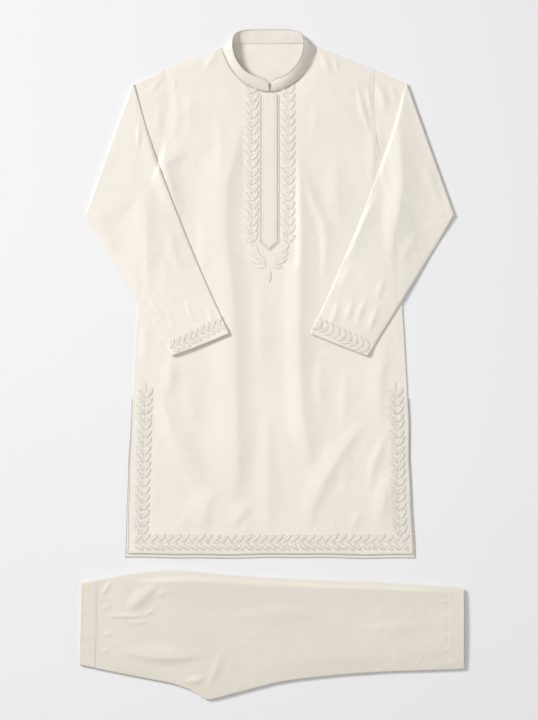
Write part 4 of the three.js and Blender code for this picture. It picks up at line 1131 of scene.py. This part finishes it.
def cuff_line(side):
    """Round the cuff's mouth: over the top of the sleeve and back under it."""
    w = np.linspace(0.02, 0.98, 40)
    way = unit(over_plan(0.5, 1.0) - over_plan(0.5, 0.9))
    x, y = (over_plan(w, 1.0) + way * CUFF_CORD_OUT).T
    half = (SLEEVE_FULL + CUFF_FULL) / 2
    middle = sleeve_rest(side, x, y) + SLEEVE_LIFT + half
    mouth = np.sin(math.pi * w) ** 0.25
    top, under = xyz(x, y, middle + mouth * (half - 0.1)), xyz(x, y, middle - mouth * (half - 0.9))
    return np.concatenate([top, under[::-1]]) * [side, 1, 1]


foot = collar_line(0.0, 0.0, 0.1, 5.6)[:, :2]
foot = foot + unit(foot - NECK_MIDDLE) * FOOT_CORD_OUT
half = len(foot) // 2
foot = np.concatenate([foot[half:], foot[:half]])
piping("collar_top_piping", collar_line(1.0, 0.0, 0.1) + [0, 0, 0.9], "collar_top_cord")
piping("collar_foot_piping", on_front(foot, 0.7), "collar_foot_cord")
inner, outer = placket_line(CORD_OUT), placket_line(OUTER_CORD_OUT)
piping("placket_piping_inner", on_front(inner, 0.7), "placket_inner_cord", 0.8, PALE_PIPING_PAINTED_LIGHT)
piping("placket_piping_outer", on_front(outer, 0.6), "placket_outer_cord", 0.65, PALE_PIPING_PAINTED_LIGHT)
piping("front_edge_piping", edge_line("front", FRONT_HEM, FRONT_CORD_Z), "front_edge_cord")
piping("back_edge_piping", edge_line("back", 0.0, BACK_CORD_Z), "back_edge_cord")
for hand, side in SIDES.items():
    piping("cuff_piping_" + hand, cuff_line(side), "cuff_cord_" + hand, 0.95, CUFF_PIPING_PAINTED_HIGHLIGHT)

# %% [markdown]
# ## Stitched leaves
# The borders are worked in satin stitch: a stem, and leaves on both sides of it that
# point outwards and forwards. A leaf is a small pad with slanting stitches laid over it
# from its midrib to its edge, so that each side catches the light in its own way. The
# tree makes one leaf from a row of stitches, puts it on every seat, and lays short
# overlapping stitches along the stem. The whole border is made flat and then let down
# onto the cloth, point by point.

# %% The leaf tree
LEAF_SIZES = {
    "Leaf Length": 24.0 * MM, "Leaf Width": 10.4 * MM, "Stitches": 7.0, "Thread": 1.55 * MM,
    "Pad": 0.75 * MM, "Slant": math.radians(31), "Stem Step": 2.6 * MM, "Size Spread": 0.07,
}


def leaf_tree():
    net, mesh, sizes = geometry_tree("leafy_stem", list(LEAF_SIZES))
    length, width, count, silk, pad, slant, stem_step, spread = sizes.values()
    stitch = unit_stitch(net, 6, 4)
    ends = {2: net.vector(length * 0.05, 0.0, 0.0), 3: net.vector(length * 0.86, 0.0, 0.0)}
    row = net.node("GeometryNodeMeshLine", {"Count": count, **ends}, mode="END_POINTS")
    share = net.node("GeometryNodeInputIndex") / (count - 1.0)
    swell = (share * 0.50 + 0.44) * math.pi
    reach = width * 0.5 * swell.sine() ** 1.25 / slant.sine()
    halves = []
    for turn in (1.0, -1.0):
        rotation = net.vector(0.0, pad * 0.55 / reach, slant * turn)
        laid = instances(net, row, stitch, rotation, (reach, silk, silk * 0.8))
        lift = {"Geometry": laid, "Offset": net.vector(0.0, 0.0, pad * 0.62)}
        halves.append(net.node("GeometryNodeSetPosition", lift))
    padding = moved(net, unit_stitch(net, 8, 6), (length * 0.80, width * 0.6, pad * 1.3),
                    (length * 0.06, 0.0, 0.0))
    rib = moved(net, stitch, (length * 0.97, silk * 0.8, silk), (0.0, 0.0, pad * 0.45))
    leaf = net.node("GeometryNodeRealizeInstances", {0: joined(net, rib, padding, *halves)})
    heading, scale = (
        net.node("GeometryNodeInputNamedAttribute", {"Name": name}, data_type="FLOAT")
        for name in ("heading", "size")
    )
    limits = {2: spread * -1.0, 3: spread, "Seed": 5}
    uneven = net.node("FunctionNodeRandomValue", limits, 1, data_type="FLOAT")
    is_seat = net.node("FunctionNodeCompare", {0: scale, 1: 0.01}, operation="GREATER_THAN")
    seats = net.node("GeometryNodeMeshToPoints", {"Mesh": mesh, "Selection": is_seat})
    whole = scale * (uneven + 1.0)
    leaves = instances(net, seats, leaf, net.vector(0.0, 0.0, heading + uneven * 0.9), (whole, whole, scale))
    stem = stitch_row(net, mesh, stem_step, stitch, stem_step * 1.7, silk * 1.3)
    real = net.node("GeometryNodeRealizeInstances", {0: joined(net, leaves, stem)})
    x = net.node("ShaderNodeSeparateXYZ", {0: net.node("GeometryNodeInputPosition")}, "X")
    above = net.vector(x, x.out("Y"), x.out("Z").most(0.0))
    return end_tree(net, mesh, net.node("GeometryNodeSetPosition", {"Geometry": real, "Position": above}))


LEAF_TREE = leaf_tree()
LEAF_LIFT = 0.15  # of the stitches' flat undersides above the cloth


def lay_down(piece, height):
    """Lets a flat piece down onto the cloth: every point rises by the height below it."""
    mesh = piece.data
    co = np.empty(len(mesh.vertices) * 3, np.float32)
    mesh.vertices.foreach_get("co", co)
    co = co.reshape(-1, 3).astype(float)
    plan = (co - KURTA_AT) / MM
    co[:, 2] += (height(plan[:, 0], plan[:, 1]) + LEAF_LIFT) * MM
    mesh.vertices.foreach_set("co", co.ravel())
    mesh.update()


def leafy(name, node, stem, seats, height=FRONT, sizes=LEAF_SIZES, silk=LEAF_THREAD):
    """A stem of points of the plan with leaves on seats, let down onto a surface."""
    line = xyz(*stem.T, 0.0)
    piece = run_tree(name, LEAF_TREE, path_mesh(name, [line], seats), sizes, silk)
    lay_down(piece, height)
    finish_piece(piece, "stitching", node)


def pairs(stem, pitch, spread, size, start, end):
    """Seats of leaves along a stem, in pairs that point forwards and outwards."""
    far = distances(stem)

    def at(s):
        return np.array([np.interp(s, far, column) for column in stem.T])

    seats = []
    for side in (1, -1):
        for s in np.arange(start, far[-1] - end, pitch):
            x, y = at(s + 3) - at(s - 3)
            heading = math.atan2(y, x) + side * spread
            x, y = at(s) + 0.6 * np.array([math.cos(heading), math.sin(heading)])
            seats.append((x, y, heading, size))
    return seats


# %% The borders beside the placket
STEM_OUT = 38.0
STEM_ROUTE = [(5, 606), (15, 615), (25, 630), (33, 650), (STEM_OUT, 680), (STEM_OUT, 760),
              (STEM_OUT, 860), (STEM_OUT, 971)]
FAN = [(5, 608, -4, 1.05), (13, 613, 20, 1.15), (21, 623, 36, 1.05), (28, 637, 52, 1.0),
       (9, 609, 72, 1.0), (17, 618, 68, 0.95), (26, 632, 84, 0.9)]  # x, y, degrees, size
CHEST_SPREAD, EDGE_SPREAD = math.radians(38), math.radians(40)
DROP_Y = 606.0


def placket_border(hand, side):
    route = spline(STEM_ROUTE, 160) * [side, 1] + [PLACKET_X, 0]
    seats = [(PLACKET_X + side * x, y, math.radians(90 - side * (90 - turn)), size)
             for x, y, turn, size in FAN]
    seats += pairs(route, pitch=17.2, spread=CHEST_SPREAD, size=1.13, start=60, end=3)
    leafy("placket_border_" + hand, "placket_leaves_" + hand, route, seats, silk=CHEST_THREAD_PAINTED_HIGHLIGHT)


for hand, side in SIDES.items():
    placket_border(hand, side)
drop_stem = np.array([(PLACKET_X, DROP_Y), (PLACKET_X, DROP_Y - 6)])
drop_seat = (PLACKET_X, DROP_Y - 5, -math.pi / 2, 1.25)
drop_sizes = {**LEAF_SIZES, "Leaf Width": 8.5 * MM}
leafy("drop_leaf_stitched", "drop_leaf", drop_stem, [drop_seat], FRONT, drop_sizes, CHEST_THREAD_PAINTED_HIGHLIGHT)

# %% The borders of the slits, the hem and the cuffs
BORDER_IN = 25.0  # from the slit's edge to the stem
SLIT_BORDER_UP, SLIT_BORDER_PAST = 36, 12  # above the hem, and past the slit's top
HEM_BORDER_UP = 23.5
CUFF_BORDER_UP = 19.0


def sleeve_surface(side):
    """The top of the folded part of one sleeve, for its own x."""
    return lambda x, y: sleeve_top(side, side * x, y)


def slit_border(hand, side):
    y = np.linspace(FRONT_HEM + SLIT_BORDER_UP, SLIT_TOP + SLIT_BORDER_PAST, 90)
    stem = xyz(side * (half_width("front", y) - BORDER_IN), y)
    seats = pairs(stem, pitch=16.8, spread=EDGE_SPREAD, size=1.18, start=2, end=6)
    seats.append((stem[-1, 0], y[-1] - 4, math.pi / 2, 0.95))
    leafy("slit_border_" + hand, "slit_leaves_" + hand, stem, seats)


def hem_border():
    half = float(half_width("front", FRONT_HEM)) - 10
    stem = xyz(np.linspace(-half, half, 200), FRONT_HEM + HEM_BORDER_UP)
    seats = pairs(stem, pitch=16.4, spread=EDGE_SPREAD, size=1.14, start=1, end=11)
    leafy("hem_border", "hem_leaves", stem, seats)


def cuff_border(hand, side):
    length = np.linalg.norm(over_plan(0.5, 1.0) - over_plan(0.5, 0.0))
    stem = over_plan(np.linspace(0.97, 0.03, 60), 1 - CUFF_BORDER_UP / length) * [side, 1]
    seats = pairs(stem, pitch=13.6, spread=EDGE_SPREAD, size=0.98, start=1, end=9)
    leafy("cuff_border_" + hand, "cuff_leaves_" + hand, stem, seats, sleeve_surface(side))


hem_border()
for hand, side in SIDES.items():
    slit_border(hand, side)
    cuff_border(hand, side)

# %% [markdown]
# ## Seam stitches
# A row of small stitches holds every folded edge: round the collar, down the placket, at
# the cuffs, beside the slits and the hem, and round the waistband and the leg's hem. The
# path is laid on the cloth first. The tree then puts one short stitch after another along
# it, with a gap between two, and sinks each a little into the cloth.

# %% The seam-stitch tree
SEAM_SIZES = {"Pitch": 3.4 * MM, "Stitch Length": 2.5 * MM, "Thread": 0.55 * MM}


def seam_tree():
    net, mesh, sizes = geometry_tree("running_stitch", list(SEAM_SIZES))
    pitch, length, silk = sizes.values()
    return end_tree(net, mesh, stitch_row(net, mesh, pitch, unit_stitch(net, 5, 3), length, silk))


SEAM_TREE = seam_tree()


def seam(name, lines, at):
    """Rows of stitches along lines of points in a garment's own millimetres."""
    base = path_mesh(name, lines, at=at)
    finish_piece(run_tree(name, SEAM_TREE, base, SEAM_SIZES, SEAM_THREAD), "stitching")


def row(x, y, height=FRONT, lift=0.12):
    """A path of stitches along a line of the plan, just above a surface."""
    return xyz(x, y, height(x, y) + lift)


# %% The kurta's rows of stitches
HEM_STITCH = 4.0  # from a piped edge to its row of stitches
ARMHOLE_STITCH = 3.0
OPENING_END = 692.0  # a row across the placket, where its opening ends

placket_y = np.linspace(PLACKET_SIDE - 4, PLACKET_TOP - 2, 90)
slit_y = np.linspace(FRONT_HEM + HEM_STITCH, SLIT_TOP + 6, 110)
armhole_y = np.linspace(UNDERARM + 66, SHOULDER_Y - 3, 90)
cuff_x, cuff_y = over_plan(np.linspace(0.06, 0.94, 60), 0.993).T
hem_half = float(half_width("front", FRONT_HEM)) - HEM_STITCH
rows = [
    row(np.linspace(-0.7, 0.7, 12) * PLACKET_HALF + PLACKET_X, OPENING_END, placket_height, 0.15),
    row(np.linspace(-hem_half, hem_half, 200), FRONT_HEM + HEM_STITCH),
]
for side in SIDES.values():
    rows += [
        row(PLACKET_X + side * PLACKET_HALF * CHANNEL_AT, placket_y, placket_height, 0.15),
        row(side * (half_width("front", slit_y) - HEM_STITCH), slit_y),
        row(side * (half_width("front", armhole_y) - ARMHOLE_STITCH), armhole_y),
        row(side * cuff_x, cuff_y, sleeve_surface(side), 0.1),
    ]
for t in (0.12, 0.89):
    rows += np.array_split(collar_line(t, -COLLAR_THICK / 2 - 0.1, 0.05, 7.4), 2)
seam("kurta_seam_stitches", rows, KURTA_AT)

# %% [markdown]
# ## Churidar
# The trousers lie on their side with one leg on the other, the waist to the left. The
# near leg shows its outer side. The two layers of the far leg below it are hidden, and
# show only as edges. The waistband is one loop folded in half. The churidar's own folds
# start at the waist and at the crotch, and the leg itself is nearly smooth.

# %% The churidar's outline and folds
LEG = {
    "x": [0, 38, 90, 143, 190, 228, 252, 262, 276, 332, 416, 521, 626, 743, 800],
    "upper": [96.5, 103, 112.5, 119.5, 122, 120, 117.5, 116.5, 115, 110, 105, 100, 96, 89, 84],
    "lower": [-77, -84, -94.5, -105, -114.5, -127.5, -142, -147.5, -147, -132.5, -111.5, -98.5, -90.5,
              -86.5, -84],
}
WAISTBAND = 32.5
WAIST_SLANT = 0.022  # the waist edge leans by this much for each millimetre across
LAYER_PAIR = 3.6  # the far leg's two layers together
LEG_FLAT, LEG_FULL = 3.2, 5.0  # the near leg's two at an edge and in the middle
LEG_BOTTOM = LAYER_PAIR + SEAM_GAP
HEM_AT = 765.0
FAR_LEG_END = WAISTBAND + SEAM_GAP + 767 * 0.996  # a little short of the near leg
LEG_FOLDS = [
    Fold(28, 22, 3.4, [(160, 582), (148, 594), (136, 604), (122, 614)]),
    Fold(10, 9, 1.2, [(176, 590), (163, 593), (152, 599)]),
    Fold(12, 4, 1.9, [(155, 616), (125, 616.5), (100, 617)]),
    Fold(5, 12, 1.5, [(156, 621), (141, 621.5), (124, 622)]),
    Fold(7, 7, 1.6, [(158, 609), (151, 612), (142, 615)]),
    Fold(10, 70, 4.2, [(462, 592), (380, 588), (300, 585), (220, 580), (120, 582)]),
    Fold(60, 30, 1.0, [(462, 655), (400, 656), (340, 659), (290, 663), (236, 672)]),
    Fold(40, 18, 3.6, [(214, 654), (182, 658), (150, 657), (114, 650)]),
    Fold(15, 11, 2.4, [(208, 674), (196, 681), (180, 681)]),
    Fold(14, 20, 1.7, [(224, 650), (215, 672), (206, 692)]),
    Fold(8, 9, 1.8, [(114, 577), (107, 588), (99, 599)]),
    Fold(7, 8, 1.2, [(112, 604), (105, 608), (100, 610)]),
    Fold(7, 8, 1.2, [(116, 632), (107, 634), (100, 634)]),
    Fold(8, 8, 1.2, [(112, 652), (105, 650), (100, 651)]),
    Fold(30, 30, 1.4, [(340, 616), (280, 614), (215, 618)]),
    Fold(24, 30, 1.3, [(440, 622), (390, 628), (350, 630)]),
    Fold(7, 7, 0.7, [(452, 612), (444, 616), (438, 616)]),
    Fold(6, 6, 0.7, [(453, 622), (446, 624), (440, 628)]),
    Fold(6, 6, 0.7, [(453, 634), (447, 636), (441, 640)]),
    Fold(7, 6, 0.7, [(452, 645), (446, 650), (438, 652)]),
    Fold(7, 7, 0.7, [(444, 660), (437, 666), (430, 668)]),
    Fold(6, 6, 0.9, [(452, 600), (445, 602), (437, 601)]),
]
LEG_PLACED = placed(LEG_FOLDS, CHURIDAR_AT)


def leg_height(x, y):
    """Folds of the near leg, the step of its turned hem, and the stitching's pull."""
    hem = 0.4 * smooth((x - HEM_AT) / 4) - 0.2 * bell(x, HEM_AT, 2.2)
    small = 0.2 * (1 + ripple(x, y, 90, 21)) + 0.35 * crumple(x, y, 80, 22)
    return ridges(LEG_PLACED, x, y) + small + hem


LEG_RELIEF = Relief((0, 810), (-155, 130), 2.0, leg_height)


def leg_plan(x, w, inset):
    """Plan of the leg: x along it from the waist, w across from its upper edge."""
    y = mix(read(LEG, "x", "upper", x) - inset, read(LEG, "x", "lower", x) + inset, w)
    return x + y * WAIST_SLANT * (1 - smooth(x / 200)), y


def leg_top(x, w, px, py):
    """Height of the top of the near leg at a share w of its width."""
    full = np.sin(math.pi * np.clip(w, 0, 1)) ** 0.6 * smooth((x - WAISTBAND - 5) / 60)
    relief = LEG_RELIEF(px, py) * inside(w, 14) * smooth((x - WAISTBAND - 1) / 12)
    return LEG_BOTTOM + mix(LEG_FLAT, LEG_FULL, full) + relief


# %% Both legs
def near_leg():
    x = np.linspace(WAISTBAND + SEAM_GAP, LEG_END, 260)[:, None]
    w = np.linspace(0, 1, 70)
    radius = LEG_FLAT / 2
    rings = []
    for wall in (0.0, CLOTH):
        px, py = leg_plan(x, w, radius)
        above = xyz(px, py, leg_top(x, w, px, py) - wall)
        below = xyz(px, py, LEG_BOTTOM + wall)
        reach = (radius - wall) * np.sin(EDGE_TURN)
        lift = (radius - wall) * np.cos(EDGE_TURN)
        (lx, ly), (ux, uy) = leg_plan(x, 1.0, radius), leg_plan(x, 0.0, radius)
        lower = xyz(lx, ly - reach, LEG_BOTTOM + radius + lift)
        upper = xyz(ux, uy + reach, LEG_BOTTOM + radius - lift)
        rings.append(np.concatenate([above, lower, below[:, ::-1], upper], axis=1))
    piece = tube("leg_near_cloth", *rings, xyz(girths(rings[0]), x), CHURIDAR_AT, TROUSER)
    finish_piece(piece, "churidar_cloth", "leg_near")


def far_leg():
    """The far leg as a plate, with a groove round it between its two layers."""
    turns = np.linspace(0, 1, 17)
    z = LAYER_PAIR * (1 - turns)
    inset = 2 + (1.6 * bell(turns, 0.5, 0.12) + 0.9 * bell(turns, 0, 0.08) + 0.9 * bell(turns, 1, 0.08))
    x = np.linspace(WAISTBAND + SEAM_GAP, FAR_LEG_END, 200)[:, None]
    upper, lower = (xyz(*leg_plan(x, w, inset), z) for w in (0.0, 1.0))
    piece = shell("leg_far_cloth", upper, lower, xyz(x, 4 * turns), CHURIDAR_AT, TROUSER)
    finish_piece(piece, "churidar_cloth", "leg_far")


near_leg()
far_leg()

# %% The waistband
BAND_FACES = (1.7, 0.5)  # from the middle of its two layers to its outside and its inside
BAND_EDGE = 1.75


def band_ring(x, reach):
    """One ring of the loop: a line offset round a spine that turns back on itself."""
    turn = np.linspace(-math.pi / 2, -3 * math.pi / 2, 12)
    low, high = LAYER_PAIR / 2, LAYER_PAIR * 1.5 + SEAM_GAP
    bend = (high - low) / 2
    upper, lower = (float(read(LEG, "x", side, x)) for side in ("upper", "lower"))
    edge = lower + BAND_EDGE + bend
    wave = 0.25 * np.sin(np.linspace(0, 40, 40)) * math.sin(math.pi * x / WAISTBAND)
    run = np.linspace(upper - BAND_EDGE, edge, 40)
    spine = np.concatenate([
        xyz(run, low),
        xyz(edge + bend * np.cos(turn), (low + high) / 2 + bend * np.sin(turn)),
        xyz(run[::-1], high + wave),
    ])
    way = unit(np.gradient(spine, axis=0))
    side = xyz(-way[:, 1], way[:, 0])
    cap = EDGE_TURN[:, None]
    end, start = (reach * (np.cos(cap) * side[i] + np.sin(cap) * way[i]) for i in (-1, 0))
    offset = reach * side
    loop = np.concatenate([spine + offset, spine[-1] + end, (spine - offset)[::-1], spine[0] - start])
    return xyz(x + loop[:, 0] * WAIST_SLANT, loop[:, 0], np.clip(loop[:, 1], 0.02, None))


def waistband():
    x = np.linspace(0, WAISTBAND, 22)
    outer, inner = (np.array([band_ring(station, reach) for station in x]) for reach in BAND_FACES)
    uv = xyz(girths(outer), x[:, None])
    piece = tube("waistband_cloth", outer, inner, uv, CHURIDAR_AT, TROUSER)
    finish_piece(piece, "churidar_cloth", "waistband")


waistband()


# %% The churidar's rows of stitches
ROW_INSET, ROW_LIFT = 1.5, 0.1
BAND_TOP = LAYER_PAIR * 2 + SEAM_GAP


def leg_row(x, low, high):
    """A row across the near leg at a place along it, on its top."""
    w = np.linspace(low, high, 80)
    px, py = leg_plan(x, w, ROW_INSET)
    return xyz(px, py, leg_top(x, w, px, py) + ROW_LIFT)


y = np.linspace(88, -68, 80)
rows = [xyz(x + y * WAIST_SLANT, y, BAND_TOP + ROW_LIFT) for x in (4.0, WAISTBAND - 3.0)]
rows += [leg_row(HEM_AT - 1.5, 0.03, 0.97), leg_row(WAISTBAND + 4.5, 0.05, 0.95)]
seam("churidar_seam_stitches", rows, CHURIDAR_AT)

# %% [markdown]
# ## Light, floor and camera
# The set was photographed from straight above, in soft daylight from the upper left.
# A large area light stands for the window, and the world fills the shadows. The camera
# looks straight down from well above, so that the kurta stays square in the picture.

# %% Floor, lights and camera
FLOOR_HALF, FLOOR_Z = 40.0, -0.0004
DAYLIGHT, DAYLIGHT_STRENGTH = (0.97, 0.975, 1.0, 1.0), 0.31


def floor():
    material, net = new_material("pale_floor")
    cloud = net.noise(net.node("ShaderNodeTexCoord", out="Object"), 1.2, 2.0)
    colour = net.blend(cloud, (0.80, 0.80, 0.82), (0.83, 0.828, 0.845))
    end_material(net, colour, (cloud - 0.5) * 0.05 + 0.8, 0.0, 0.15)
    mesh = bpy.data.meshes.new("floor")
    corners = [(x * FLOOR_HALF, y * FLOOR_HALF, FLOOR_Z) for x, y in ((-1, -1), (1, -1), (1, 1), (-1, 1))]
    mesh.from_pydata(corners, [], [(0, 1, 2, 3)])
    mesh.materials.append(material)
    show("floor", mesh)


def area_light(name, place, size, power, colour):
    data = bpy.data.lights.new(name, "AREA")
    data.shape, data.size, data.energy, data.color = "SQUARE", size, power, colour
    lamp = show(name, data)
    lamp.location = place
    lamp.rotation_euler = (-Vector(place)).to_track_quat("-Z", "Y").to_euler()


floor()
area_light("window", (-6.2, 4.0, 5.0), 2.3, 740, (1.0, 0.985, 0.96))
area_light("ceiling", (-0.15, -0.15, 2.2), 1.3, 10, (1.0, 1.0, 1.0))
area_light("far_wall", (3.2, -1.0, 1.8), 2.0, 22, (1.0, 0.95, 0.88))
world = bpy.data.worlds.new("room")
world.use_nodes = True
background = world.node_tree.nodes["Background"].inputs
background["Color"].default_value = DAYLIGHT
background["Strength"].default_value = DAYLIGHT_STRENGTH
bpy.context.scene.world = world
bpy.context.scene.view_settings.view_transform = "Standard"

camera_data = bpy.data.cameras.new("camera")
camera_data.lens, camera_data.sensor_width = 110.0, 36.0
camera = show("camera", camera_data)
camera.location = (
    (PHOTO_WIDTH / 2 - CENTRE_PIXEL[0]) * MM_PER_PIXEL * MM,
    (CENTRE_PIXEL[1] - PHOTO_HEIGHT / 2) * MM_PER_PIXEL * MM,
    PHOTO_HEIGHT * MM_PER_PIXEL * MM * camera_data.lens / camera_data.sensor_width,
)
camera.rotation_euler = (0, 0, 0)
bpy.context.scene.camera = camera
print("camera at", [round(v, 3) for v in camera.location])
